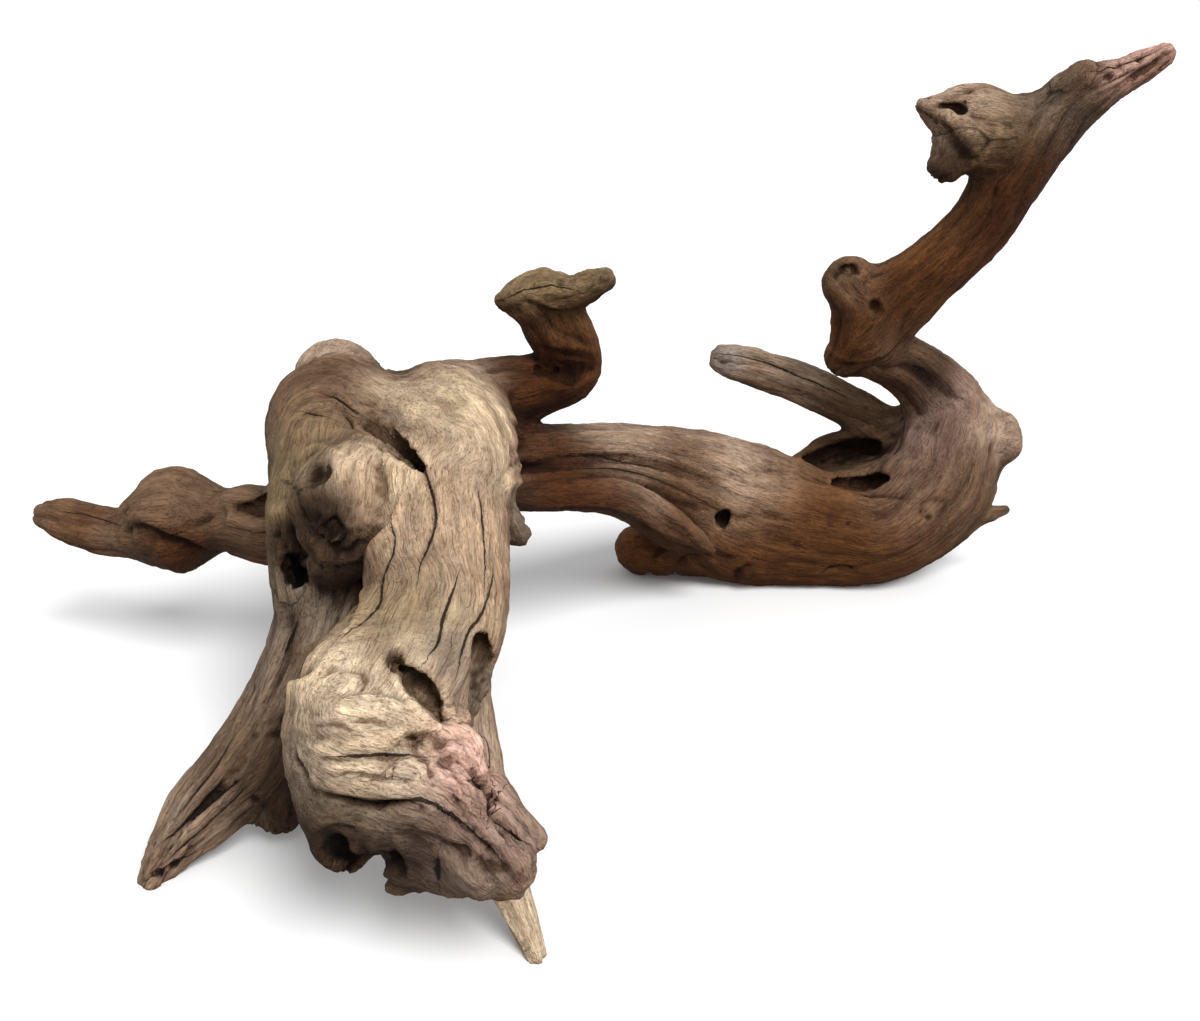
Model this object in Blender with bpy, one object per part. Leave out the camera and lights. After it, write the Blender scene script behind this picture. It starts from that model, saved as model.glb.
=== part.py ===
"""Mangrove driftwood: a weathered root stock grown in one piece, which lies on three low points.

The stock is a family of limbs that grow into each other. A limb is a run of stations, and a
station is a point of the limb's heart with the half-width and the half-depth of the wood there.
Hollows are written the same way and taken out of the wood. The surface is drawn round all of
them at once, so the limbs meet in grown crotches and not in seams.
"""

import itertools
import math

import bmesh
import bpy
import numpy as np

MM = 0.001

# Driving dimensions, in millimetres unless the name says otherwise
CELL = 3.6                # edge of the small cubes that the surface is drawn through
COARSE = 4                # small cubes along the edge of a block
TRIANGLES = 11500         # faces of the finished solid
STEP = 7.0                # distance between the points of a limb's heart
CROTCH = 14.0             # rounding where limbs grow together
LIP = 3.5                 # rounding of a hollow's edge
FLOOR = 0.0               # height of the flat spots that the wood rests on
CENTRE = (-9.0, 4.0)      # middle of the finished box, in the plan that the stations use
LOOK_DOWN = math.radians(24)

# Direction in which half-depths are measured: from the front, looking down on the wood
SIGHT = np.array((0.0, math.cos(LOOK_DOWN), -math.sin(LOOK_DOWN)))

WOOD_COLOUR = (0.36, 0.25, 0.16, 1.0)
WOOD_ROUGHNESS = 0.85

# Stations: x to the right, y to the back, z up, half-width across the sight, half-depth
TRUNK = {
    "strand": [
        (-127, 83, 186, 40, 32), (-112, 29, 192, 54, 46), (-103, -20, 190, 51, 48),
        (-99, -71, 180, 44, 44), (-93, -116, 167, 41, 38), (-90, -152, 155, 39, 36),
        (-98, -180, 143, 42, 35), (-111, -201, 128, 46, 35), (-115, -216, 113, 46, 34),
        (-106, -227, 99, 44, 30), (-92, -238, 90, 46, 22), (-82, -244, 84, 40, 14)],
    "back_knob": [(-188, 75, 208, 27, 24), (-189, 77, 222, 26, 22)],
    "snout_knot": [
        (-146, -60, 207, 16, 18), (-150, -88, 200, 26, 24), (-149, -108, 187, 27, 22),
        (-149, -114, 168, 18, 14)],
    "side_knot": [(-184, -66, 180, 14, 16), (-183, -88, 160, 14, 16), (-178, -100, 140, 9, 14)],
    "grey_stub": [(-74, -36, 176, 9, 12), (-60, -50, 167, 9, 11), (-52, -58, 159, 9, 9)],
    "left_lip": [(-128, -232, 100, 15, 20), (-129, -246, 90, 16, 17), (-127, -252, 82, 14, 13)],
    "right_lip": [
        (-99, -243, 88, 18, 20), (-88, -252, 74, 16, 14), (-63, -258, 71, 16, 14),
        (-42, -260, 66, 10, 12)],
    "fracture": [(-92, -245, 107, 16, 16), (-66, -252, 92, 18, 16), (-44, -258, 76, 13, 12)],
    "flake": [(-54, -228, 96, 7, 9), (-42, -238, 84, 7, 8), (-33, -244, 76, 6, 7)],
}
LEGS = {
    "leg": [
        (-183, 72, 192, 40, 32), (-177, 19, 200, 46, 46), (-174, -27, 186, 36, 44),
        (-168, -55, 158, 32, 36), (-163, -83, 131, 35, 32), (-171, -107, 102, 32, 28),
        (-187, -130, 75, 27, 24), (-209, -149, 49, 24, 20), (-233, -166, 27, 21, 14),
        (-248, -179, 12, 14, 10), (-257, -189, 0, 8, 7)],
    "rear_lobe": [
        (-174, -112, 84, 24, 24), (-184, -132, 54, 24, 20), (-190, -148, 34, 18, 16),
        (-189, -158, 22, 13, 12)],
    "web": [(-128, -40, 160, 20, 26), (-130, -75, 128, 20, 24), (-145, -105, 100, 18, 20)],
    "spike": [
        (-83, -99, 132, 18, 20), (-80, -125, 106, 16, 20), (-72, -162, 76, 14, 17),
        (-62, -193, 52, 13, 15), (-51, -217, 32, 11, 12), (-41, -235, 13, 8, 9),
        (-33, -246, 0, 5, 6)],
}
ARMS = {
    "left_arm": [
        (-178, 38, 169, 35, 34), (-221, 34, 124, 30, 28), (-257, 43, 120, 27, 26),
        (-275, 48, 118, 24, 24), (-307, 53, 116, 40, 34), (-331, 55, 109, 30, 28),
        (-351, 58, 104, 19, 20), (-376, 64, 104, 18, 18), (-403, 71, 109, 16, 15),
        (-414, 74, 110, 11, 11)],
    "horn_arm": [
        (-112, 53, 200, 25, 30), (-75, 76, 206, 25, 28), (-44, 88, 209, 23, 26),
        (-24, 88, 220, 24, 25), (-25, 86, 240, 24, 22), (-34, 80, 258, 23, 18),
        (-42, 75, 270, 19, 15)],
    "horn_head": [
        (-69, 69, 274, 4, 6), (-55, 71, 276, 12, 14), (-38, 74, 280, 13, 18),
        (-21, 71, 279, 11, 16), (-5, 67, 286, 10, 12), (3, 66, 289, 8, 9)],
    "right_arm": [
        (-97, 30, 172, 31, 34), (-62, 64, 153, 32, 31), (-23, 108, 135, 34, 31),
        (24, 151, 115, 39, 33), (78, 180, 85, 54, 38), (132, 197, 56, 60, 42),
        (194, 196, 42, 50, 43), (245, 191, 41, 44, 42), (290, 203, 79, 50, 42),
        (307, 218, 123, 40, 34)],
    "elbow_knob": [(322, 216, 112, 26, 24), (343, 211, 122, 23, 20)],
    "root_ends": [(127, 188, 34, 31, 32), (80, 195, 24, 25, 30), (36, 197, 22, 22, 28)],
    "lying_strand": [
        (-68, 34, 147, 10, 10), (-30, 58, 134, 11, 12), (12, 95, 118, 13, 14),
        (48, 117, 92, 12, 13), (78, 130, 65, 8, 9), (92, 133, 51, 3, 4)],
    "thorn": [(284, 180, 49, 13, 12), (322, 187, 56, 9, 8), (352, 194, 61, 4, 3)],
    "arm_back": [(134, 216, 47, 20, 18), (194, 227, 58, 22, 18), (249, 228, 69, 24, 22)],
    "back_rim": [
        (144, 221, 64, 16, 14), (180, 240, 76, 17, 12), (212, 251, 91, 17, 12),
        (249, 250, 103, 17, 14), (286, 236, 122, 28, 22)],
}
BRANCHES = {
    "neck": [
        (308, 224, 118, 40, 34), (296, 228, 150, 33, 30), (264, 222, 180, 26, 25),
        (229, 210, 199, 24, 22)],
    "upper_branch": [
        (203, 205, 196, 17, 18), (216, 205, 213, 30, 28), (237, 203, 241, 32, 28),
        (264, 198, 268, 26, 26), (293, 195, 300, 25, 25), (311, 193, 334, 26, 26),
        (327, 193, 366, 27, 26), (346, 189, 390, 23, 22), (366, 179, 406, 17, 17),
        (385, 170, 418, 12, 12), (400, 164, 428, 8, 8)],
    "branch_bump": [(346, 184, 402, 15, 14), (350, 179, 412, 12, 12)],
    "wing": [
        (311, 197, 375, 24, 22), (281, 190, 384, 24, 20), (254, 187, 388, 15, 14),
        (239, 190, 392, 5, 5)],
    "wing_lobe": [(300, 192, 364, 22, 20), (271, 184, 362, 22, 18), (259, 180, 350, 13, 12)],
    "lower_knob": [(212, 204, 243, 22, 22), (200, 204, 258, 22, 20)],
    "side_branch": [
        (276, 246, 104, 20, 18), (236, 257, 128, 18, 16), (190, 265, 149, 18, 14),
        (150, 268, 164, 18, 14), (120, 267, 172, 16, 12), (107, 267, 176, 12, 9)],
}

# Hollows, splits and undercuts, which are taken out of the wood
HOLLOWS = {
    "long_hollow": [(-150, -30, 225, 3, 6), (-138, -40, 219, 6, 10), (-124, -60, 218, 7, 13),
                    (-112, -78, 216, 7, 13), (-104, -94, 214, 3, 6)],
    "snout_dish": [(-164, -101, 219, 7, 4), (-158, -108, 215, 8, 5)],
    "snout_cup": [(-152, -134, 200, 6, 6), (-148, -130, 194, 6, 8)],
    "snout_cave": [(-150, -120, 172, 4, 8), (-141, -106, 166, 8, 13), (-138, -96, 155, 7, 13)],
    "side_cave": [(-179, -106, 160, 6, 9), (-174, -101, 150, 6, 11), (-170, -97, 141, 3, 9)],
    "nose_hollow": [(-95, -213, 152, 4, 10), (-88, -215, 146, 7, 15), (-83, -219, 141, 4, 10)],
    "brow_pit": [(-110, -202, 164, 3, 6), (-104, -201, 161, 4, 8), (-98, -203, 158, 3, 7)],
    "rotten_pit": [(-64, -182, 154, 5, 10), (-60, -192, 140, 8, 13), (-62, -206, 124, 7, 12)],
    "deep_crack": [(-130, -256, 110, 3, 7), (-110, -258, 110, 4, 10), (-92, -262, 110, 4, 10),
                   (-76, -264, 108, 4, 9), (-62, -268, 98, 4, 7), (-50, -270, 85, 3, 5)],
    "brow_crease": [(-130, -246, 127, 2, 6), (-108, -248, 126, 3, 9), (-89, -246, 126, 3, 9)],
    "ledge": [(-99, -242, 132, 3, 7), (-84, -243, 126, 6, 9), (-66, -238, 118, 5, 8)],
    "mouth": [(-128, -264, 88, 7, 7), (-124, -256, 78, 8, 12), (-120, -250, 68, 6, 12)],
    "lip_gap": [(-113, -274, 88, 3, 10), (-111, -263, 70, 6, 14), (-113, -248, 58, 9, 14)],
    "slit": [(-55, -240, 103, 2, 9), (-47, -250, 94, 3, 9), (-40, -258, 82, 2, 8)],
    "leg_groove": [(-206, -158, 74, 2, 4), (-202, -160, 60, 2, 6), (-218, -176, 34, 2, 6),
                   (-243, -188, 14, 3, 7)],
    "leg_furrow": [(-214, -158, 64, 2, 3), (-228, -172, 36, 2, 4), (-248, -186, 14, 2, 4)],
    "leg_fold": [(-185, -152, 84, 3, 4), (-189, -154, 72, 3, 6), (-196, -158, 56, 3, 4)],
    "horn_lip": [(-44, 64, 228, 6, 10), (-20, 60, 224, 9, 14), (-4, 68, 226, 5, 10)],
    "arm_split": [(-254, 20, 140, 5, 9), (-236, 17, 142, 8, 14), (-214, 14, 144, 8, 12)],
    "upper_cavity": [(190, 233, 90, 11, 16), (218, 238, 98, 12, 20), (243, 239, 101, 9, 16)],
    "lower_cavity": [(204, 197, 85, 5, 14), (228, 200, 84, 8, 20), (249, 197, 89, 5, 14)],
    "root_notch": [(43, 183, -6, 6, 30), (44, 187, 5, 2, 26)],
    "root_split": [(65, 183, -6, 6, 30), (66, 187, 4, 2, 26)],
    "worm_hole": [(100, 126, 78, 6, 7), (102, 158, 72, 7, 8)],
    "arm_valley": [(-62, 26, 168, 7, 9), (-34, 50, 157, 7, 9), (32, 117, 139, 7, 9),
                   (81, 141, 111, 8, 9), (132, 151, 88, 7, 8), (182, 152, 66, 4, 6)],
    "wing_hollow": [(262, 172, 392, 5, 9), (248, 172, 394, 5, 9)],
    "knob_face": [(187, 188, 271, 6, 9), (200, 186, 273, 6, 9)],
    "knob_pit": [(216, 174, 246, 4, 7), (220, 176, 240, 4, 6)],
}
CROTCHES = {
    "leg": 22.0, "snout_knot": 6.0, "side_knot": 6.0, "thorn": 5.0, "lying_strand": 3.0,
    "flake": 4.0, "back_knob": 8.0, "grey_stub": 6.0, "root_ends": 12.0,
    "back_rim": 8.0, "fracture": 6.0, "branch_bump": 8.0, "deep_crack": 2.0,
    "brow_crease": 2.0, "leg_groove": 3.0, "leg_furrow": 2.5, "ledge": 2.5, "slit": 2.0,
}

# Ribs along the grain: how many go round the limb, how deep their valleys are, and their turns
RIBS = {
    "strand": (7, 3.5, 0.25), "leg": (7, 4.0, 0.2), "rear_lobe": (5, 3.0, 0.1),
    "spike": (5, 1.5, 0.1), "left_arm": (5, 2.0, 0.4), "horn_arm": (5, 2.0, 0.35),
    "right_arm": (7, 3.5, 0.3), "neck": (6, 3.0, 0.2), "upper_branch": (7, 2.2, 0.4),
    "wing": (4, 2.5, 0.2), "wing_lobe": (3, 2.0, 0.2), "side_branch": (4, 2.5, 0.3),
    "lower_knob": (3, 2.0, 0.2), "back_rim": (4, 2.0, 0.2), "fracture": (5, 2.0, 0.1),
}


def smooth_rows(stations):
    """Rows a short step apart on a smooth curve that passes through every station."""
    given = np.array(stations, float)
    ends = np.vstack((2 * given[0] - given[1], given, 2 * given[-1] - given[-2]))
    rows = []
    for a, b, c, d in zip(ends, ends[1:], ends[2:], ends[3:]):
        count = max(1, round(np.linalg.norm(c[:3] - b[:3]) / STEP))
        for t in np.arange(count)[:, None] / count:
            curve = b + 0.5 * t * (c - a + t * (2 * a - 5 * b + 4 * c - d + t * (3 * (b - c) + d - a)))
            rows.append(curve)
    return np.vstack(rows + [given[-1]])


def unit(vectors):
    return vectors / np.linalg.norm(vectors, axis=-1, keepdims=True)


class Limb:
    """A run of elliptical sections with round ends, and how far a point is from its bark."""

    def __init__(self, stations, rounding, ribs=(1, 0.0, 0.0)):
        rows = smooth_rows(stations)
        self.heart = rows[:, :3]
        self.half = rows[:, 3:].clip(2.0)
        self.run = unit(np.gradient(self.heart, axis=0))
        self.across = unit(np.cross(self.run, SIGHT))
        self.deep = np.cross(self.run, self.across)
        self.rounding = rounding
        self.ribs, self.valley, self.turns = ribs
        reach = self.half.max(1, keepdims=True) + 2 * rounding + 4 * CELL
        self.low = (self.heart - reach).min(0)
        self.high = (self.heart + reach).max(0)

    def near(self, points):
        return np.flatnonzero(((points > self.low) & (points < self.high)).all(1))

    def nearest(self, points):
        """For each point, the place on the heart line next to it: a row number with a fraction."""
        square = (self.heart**2).sum(1) - 2 * points @ self.heart.T
        row = square.argmin(1)
        best = np.full(len(points), np.inf)
        place = np.zeros(len(points))
        for side in (-1, 0):
            first = (row + side).clip(0, len(self.heart) - 2)
            leg = self.heart[first + 1] - self.heart[first]
            offset = points - self.heart[first]
            part = ((offset * leg).sum(1) / (leg * leg).sum(1)).clip(0, 1)
            away = ((offset - part[:, None] * leg) ** 2).sum(1)
            closer = away < best
            best[closer] = away[closer]
            place[closer] = (first + part)[closer]
        return place

    def at(self, values, place):
        first = place.astype(int).clip(0, len(values) - 2)
        part = (place - first)[:, None]
        return values[first] * (1 - part) + values[first + 1] * part

    def distance(self, points):
        place = self.nearest(points)
        offset = points - self.at(self.heart, place)
        half = self.at(self.half, place)
        along = (offset * self.at(self.run, place)).sum(1)
        across = (offset * self.at(self.across, place)).sum(1)
        deep = (offset * self.at(self.deep, place)).sum(1)
        share = np.sqrt((across / half[:, 0]) ** 2 + (deep / half[:, 1]) ** 2 + (along / half.min(1)) ** 2)
        length = np.linalg.norm(offset, axis=1)
        inner = share > 0.05
        bark = np.where(inner, length / np.where(inner, share, 1), half.min(1))
        return length - bark + self.valley * self.valleys(across, deep, place)

    def valleys(self, across, deep, place):
        """Depth, 0 to 1, of the narrow valleys between the ribs."""
        turn = self.turns * 2 * math.pi * place / len(self.heart)
        wander = 0.5 * np.sin(place * 0.31) + 0.3 * np.sin(place * 0.73 + 1.3)
        round_limb = np.arctan2(deep, across) + turn
        rib = np.abs(np.sin(0.5 * (self.ribs * round_limb + wander)))
        return (1 - rib) ** 2


def rounded_union(a, b, radius):
    """The nearer of two distances, with the corner between them filled by a rounding."""
    overlap = np.maximum(radius - np.abs(a - b), 0) / radius
    return np.minimum(a, b) - overlap * overlap * radius / 4


def grow(family, rounding):
    return [
        Limb(stations, CROTCHES.get(name, rounding), RIBS.get(name, (1, 0.0, 0.0)))
        for name, stations in family.items()]


def wood_field(points, limbs, hollows):
    """Distance from the wood's surface, negative inside."""
    distance = np.full(len(points), 1000.0)
    for limb in limbs:
        near = limb.near(points)
        distance[near] = rounded_union(distance[near], limb.distance(points[near]), limb.rounding)
    for hollow in hollows:
        near = hollow.near(points)
        taken = hollow.distance(points[near])
        distance[near] = -rounded_union(-distance[near], taken, hollow.rounding)
    return distance


def blocks_near_surface(field, low, high):
    """Lowest corners, counted in cells, of the small cubes that may hold surface."""
    block = CELL * COARSE
    counts = np.ceil((high - low) / block).astype(int)
    blocks = np.stack(np.meshgrid(*map(np.arange, counts), indexing="ij"), -1).reshape(-1, 3)
    held = np.abs(field(low + (blocks + 0.5) * block)) < 1.3 * block
    inner = np.array(list(itertools.product(range(COARSE), repeat=3)))
    return (blocks[held][:, None] * COARSE + inner).reshape(-1, 3)


def draw_surface(field, low, high):
    """Closed mesh where the field is zero: each cube is cut into six tetrahedra round its diagonal."""
    cubes = blocks_near_surface(field, low, high)
    corners = np.array(list(itertools.product((0, 1), repeat=3)))
    side = cubes.max() + 2
    weights = np.array((side * side, side, 1))
    keys, spots = np.unique((cubes[:, None] + corners) @ weights, return_inverse=True)
    spots = spots.reshape(-1, 8)
    places = low + CELL * np.stack((keys // weights[0], keys // side % side, keys % side), -1)
    values = field(places)
    values = np.where(np.abs(values) < 0.02 * CELL, 0.02 * CELL, values)
    ends, faces = [], []
    for order in itertools.permutations((4, 2, 1)):
        path = np.cumsum((0,) + order)
        tetra = spots[:, path]
        inside = values[tetra] < 0
        for pattern in itertools.product((False, True), repeat=4):
            if 0 < sum(pattern) < 4:
                cut_tetrahedra(tetra[(inside == pattern).all(1)], pattern, places, ends, faces)
    return join_crossings(np.vstack(ends), np.concatenate(faces), places, values)


def cut_tetrahedra(tetra, pattern, places, ends, faces):
    """Adds the crossing edges' ends and the triangles that separate inner from outer corners."""
    inner = [i for i in range(4) if pattern[i]]
    outer = [i for i in range(4) if not pattern[i]]
    pairs = [(i, o) for i in inner for o in outer]
    if len(pairs) == 4:
        triangles = [(pairs[0], pairs[1], pairs[3]), (pairs[0], pairs[3], pairs[2])]
    else:
        triangles = [tuple(pairs)]
    outward = places[tetra[:, outer]].mean(1) - places[tetra[:, inner]].mean(1)
    for triangle in triangles:
        middles = [places[tetra[:, pair]].mean(1) for pair in triangle]
        normal = np.cross(middles[1] - middles[0], middles[2] - middles[0])
        flipped = (normal * outward).sum(1) < 0
        edges = np.stack([np.sort(tetra[:, pair], 1) for pair in triangle], 1)
        edges[flipped] = edges[flipped][:, ::-1]
        start = sum(map(len, faces)) * 3
        ends.append(edges.reshape(-1, 2))
        faces.append(np.arange(start, start + len(edges) * 3).reshape(-1, 3))


def join_crossings(ends, faces, places, values):
    """One vertex for each edge that crosses the surface."""
    edges, index = np.unique(ends, axis=0, return_inverse=True)
    first, second = values[edges].T
    part = (first / (first - second))[:, None]
    vertices = places[edges[:, 0]] * (1 - part) + places[edges[:, 1]] * part
    return vertices, index.ravel()[faces]


def largest_body(mesh):
    """Keeps the largest connected body of a bmesh and deletes loose scraps."""
    unseen = set(mesh.verts)
    bodies = []
    while unseen:
        stack = [unseen.pop()]
        body = []
        while stack:
            vertex = stack.pop()
            body.append(vertex)
            for edge in vertex.link_edges:
                other = edge.other_vert(vertex)
                if other in unseen:
                    unseen.remove(other)
                    stack.append(other)
        bodies.append(body)
    bodies.sort(key=len)
    for body in bodies[:-1]:
        bmesh.ops.delete(mesh, geom=body, context="VERTS")


def drop_doubled_faces(mesh):
    """Deletes pairs of faces that lie back to back on the same three corners."""
    by_corners = {}
    for face in mesh.faces:
        by_corners.setdefault(frozenset(face.verts), []).append(face)
    doubled = [face for faces in by_corners.values() if len(faces) > 1 for face in faces]
    bmesh.ops.delete(mesh, geom=doubled, context="FACES")


def cut_feet(mesh):
    """Cuts the wood flat at floor height, so that it rests on plain flat spots."""
    geometry = mesh.verts[:] + mesh.edges[:] + mesh.faces[:]
    cut = bmesh.ops.bisect_plane(
        mesh, geom=geometry, dist=1e-7, plane_co=(0, 0, FLOOR * MM), plane_no=(0, 0, -1),
        clear_outer=True)
    rim = [item for item in cut["geom_cut"] if isinstance(item, bmesh.types.BMEdge)]
    bmesh.ops.holes_fill(mesh, edges=rim)


def reduced(vertices, faces, name):
    """Mesh with the faces that the finished solid may have."""
    dense = bpy.data.meshes.new(name)
    dense.from_pydata(vertices.tolist(), [], faces.tolist())
    carrier = bpy.data.objects.new(name, dense)
    bpy.context.scene.collection.objects.link(carrier)
    fewer = carrier.modifiers.new("fewer_faces", "DECIMATE")
    fewer.ratio = TRIANGLES / len(faces)
    depsgraph = bpy.context.evaluated_depsgraph_get()
    result = bpy.data.meshes.new_from_object(carrier.evaluated_get(depsgraph))
    bpy.data.objects.remove(carrier)
    return result


def wood_material():
    material = bpy.data.materials.new("weathered_wood")
    material.use_nodes = True
    shader = material.node_tree.nodes["Principled BSDF"]
    shader.inputs["Base Color"].default_value = WOOD_COLOUR
    shader.inputs["Roughness"].default_value = WOOD_ROUGHNESS
    shader.inputs["Metallic"].default_value = 0.0
    return material


def build_driftwood():
    limbs = []
    for family in (TRUNK, LEGS, ARMS, BRANCHES):
        limbs += grow(family, CROTCH)
    hollows = grow(HOLLOWS, LIP)
    low = np.min([limb.low for limb in limbs], axis=0)
    high = np.max([limb.high for limb in limbs], axis=0)
    vertices, faces = draw_surface(lambda points: wood_field(points, limbs, hollows), low, high)
    vertices[:, :2] -= CENTRE
    mesh = reduced(vertices * MM, faces, "driftwood")
    shape = bmesh.new()
    shape.from_mesh(mesh)
    drop_doubled_faces(shape)
    largest_body(shape)
    cut_feet(shape)
    largest_body(shape)
    bmesh.ops.triangulate(shape, faces=shape.faces[:])
    shape.to_mesh(mesh)
    shape.free()
    mesh.shade_smooth()
    mesh.materials.append(wood_material())
    wood = bpy.data.objects.new("driftwood", mesh)
    bpy.context.scene.collection.objects.link(wood)
    return wood


def main():
    for old in list(bpy.data.objects):
        bpy.data.objects.remove(old)
    build_driftwood()


main()
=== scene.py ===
"""Looks of the mangrove driftwood: its wood drawn finely round the same limbs as the solid.

The surface is drawn again through small cubes, then carved with the splits, folds, pits and
grain of the photographed piece, and painted by a material that follows the grain.
Lengths are in millimetres, in the plan of the stations, until the mesh is made.
"""

import itertools
import math

import bpy
import numpy as np
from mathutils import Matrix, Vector
from mathutils.bvhtree import BVHTree
from mathutils.kdtree import KDTree

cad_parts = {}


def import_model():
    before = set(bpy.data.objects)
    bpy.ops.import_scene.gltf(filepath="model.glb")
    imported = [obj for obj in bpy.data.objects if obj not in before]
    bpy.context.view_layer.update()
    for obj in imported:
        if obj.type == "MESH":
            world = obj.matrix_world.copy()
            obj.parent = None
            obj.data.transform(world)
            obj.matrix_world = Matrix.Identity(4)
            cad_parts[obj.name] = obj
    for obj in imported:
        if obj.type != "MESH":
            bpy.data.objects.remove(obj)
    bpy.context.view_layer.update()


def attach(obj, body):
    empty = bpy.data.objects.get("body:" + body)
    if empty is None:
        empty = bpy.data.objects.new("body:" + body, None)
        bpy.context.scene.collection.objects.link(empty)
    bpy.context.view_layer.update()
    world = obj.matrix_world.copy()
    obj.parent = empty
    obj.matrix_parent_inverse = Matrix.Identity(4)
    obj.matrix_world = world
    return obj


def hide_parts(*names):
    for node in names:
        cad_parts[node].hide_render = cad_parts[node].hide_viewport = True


MM = 0.001
CELL = 1.9            # edge of the small cubes that the surface is drawn through
COARSE = 4            # small cubes along the edge of a block
BLOCK_REACH = 1.3 * CELL * COARSE + 3.0     # a block farther from the surface holds none of it
LEAST = 0.02 * CELL   # no corner counts as nearer to the surface than this
TRIANGLES = 197000    # faces of the finished wood
STEP = 7.0            # distance between the points of a limb's heart
ROUTE_STEP = 2.0      # the same on a route over the bark
THINNEST = 2.0        # smallest half-width of a limb
CROTCH = 14.0         # rounding where limbs grow together
LIP = 3.5             # rounding of a hollow's edge
MARGIN = 14.0         # how far past its bark and roundings a limb is asked
OPEN_AIR = 1000.0     # distance from the wood where no limb is near
CHUNK = 40000         # points worked out at a time
HEART = 0.05          # share of the way to the bark that counts as the heart
TINY = 1e-9

# The photograph's frame and the camera that matches it, and where the plan has the frame's origin
PHOTO_WIDE, PHOTO_HIGH = 1200, 1021
EYE = np.array((0.0, -680.0, 450.0))
CENTRE = np.array((-9.0, 4.0, 0.0))
FOCAL_PIXELS = 1100.0
SENSOR = 36.0
LOOK_DOWN = math.radians(24)
SIGHT = np.array((0.0, math.cos(LOOK_DOWN), -math.sin(LOOK_DOWN)))
PICTURE_RIGHT = np.array((1.0, 0.0, 0.0))
PICTURE_UP = np.array((0.0, math.sin(LOOK_DOWN), math.cos(LOOK_DOWN)))

# Stations: x to the right, y to the back, z up, half-width across the sight, half-depth
TRUNK = {
    "strand": [
        (-127, 83, 186, 40, 32), (-112, 29, 192, 54, 46), (-103, -20, 190, 51, 48),
        (-99, -71, 180, 44, 44), (-93, -116, 167, 41, 38), (-90, -152, 155, 39, 36),
        (-98, -180, 143, 42, 35), (-111, -201, 128, 46, 35), (-115, -216, 113, 46, 34),
        (-106, -227, 99, 44, 30), (-92, -238, 90, 46, 22), (-82, -244, 84, 40, 14)],
    "back_knob": [(-188, 75, 208, 27, 24), (-189, 77, 222, 26, 22)],
    "snout_knot": [
        (-146, -60, 207, 16, 18), (-150, -88, 200, 26, 24), (-149, -108, 187, 27, 22),
        (-149, -114, 168, 18, 14)],
    "side_knot": [(-184, -66, 180, 14, 16), (-183, -88, 160, 14, 16), (-178, -100, 140, 9, 14)],
    "grey_stub": [(-74, -36, 176, 9, 12), (-60, -50, 167, 9, 11), (-52, -58, 159, 9, 9)],
    "left_lip": [(-128, -232, 100, 15, 20), (-129, -246, 90, 16, 17), (-127, -252, 82, 14, 13)],
    "right_lip": [
        (-99, -243, 88, 18, 20), (-88, -252, 74, 16, 14), (-63, -258, 71, 16, 14),
        (-42, -260, 66, 10, 12)],
    "fracture": [(-92, -245, 107, 16, 16), (-66, -252, 92, 18, 16), (-44, -258, 76, 13, 12)],
    "flake": [(-54, -228, 96, 7, 9), (-42, -238, 84, 7, 8), (-33, -244, 76, 6, 7)],
}
LEGS = {
    "leg": [
        (-183, 72, 192, 40, 32), (-177, 19, 200, 46, 46), (-174, -27, 186, 36, 44),
        (-168, -55, 158, 32, 36), (-163, -83, 131, 35, 32), (-171, -107, 102, 32, 28),
        (-187, -130, 75, 27, 24), (-209, -149, 49, 24, 20), (-233, -166, 27, 21, 14),
        (-248, -179, 12, 14, 10), (-257, -189, 0, 8, 7)],
    "rear_lobe": [
        (-174, -112, 84, 24, 24), (-184, -132, 54, 24, 20), (-190, -148, 34, 18, 16),
        (-189, -158, 22, 13, 12)],
    "web": [(-128, -40, 160, 20, 26), (-130, -75, 128, 20, 24), (-145, -105, 100, 18, 20)],
    "spike": [
        (-83, -99, 132, 18, 20), (-80, -125, 106, 16, 20), (-72, -162, 76, 14, 17),
        (-62, -193, 52, 13, 15), (-51, -217, 32, 11, 12), (-41, -235, 13, 8, 9), (-33, -246, 0, 5, 6)],
}
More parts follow.
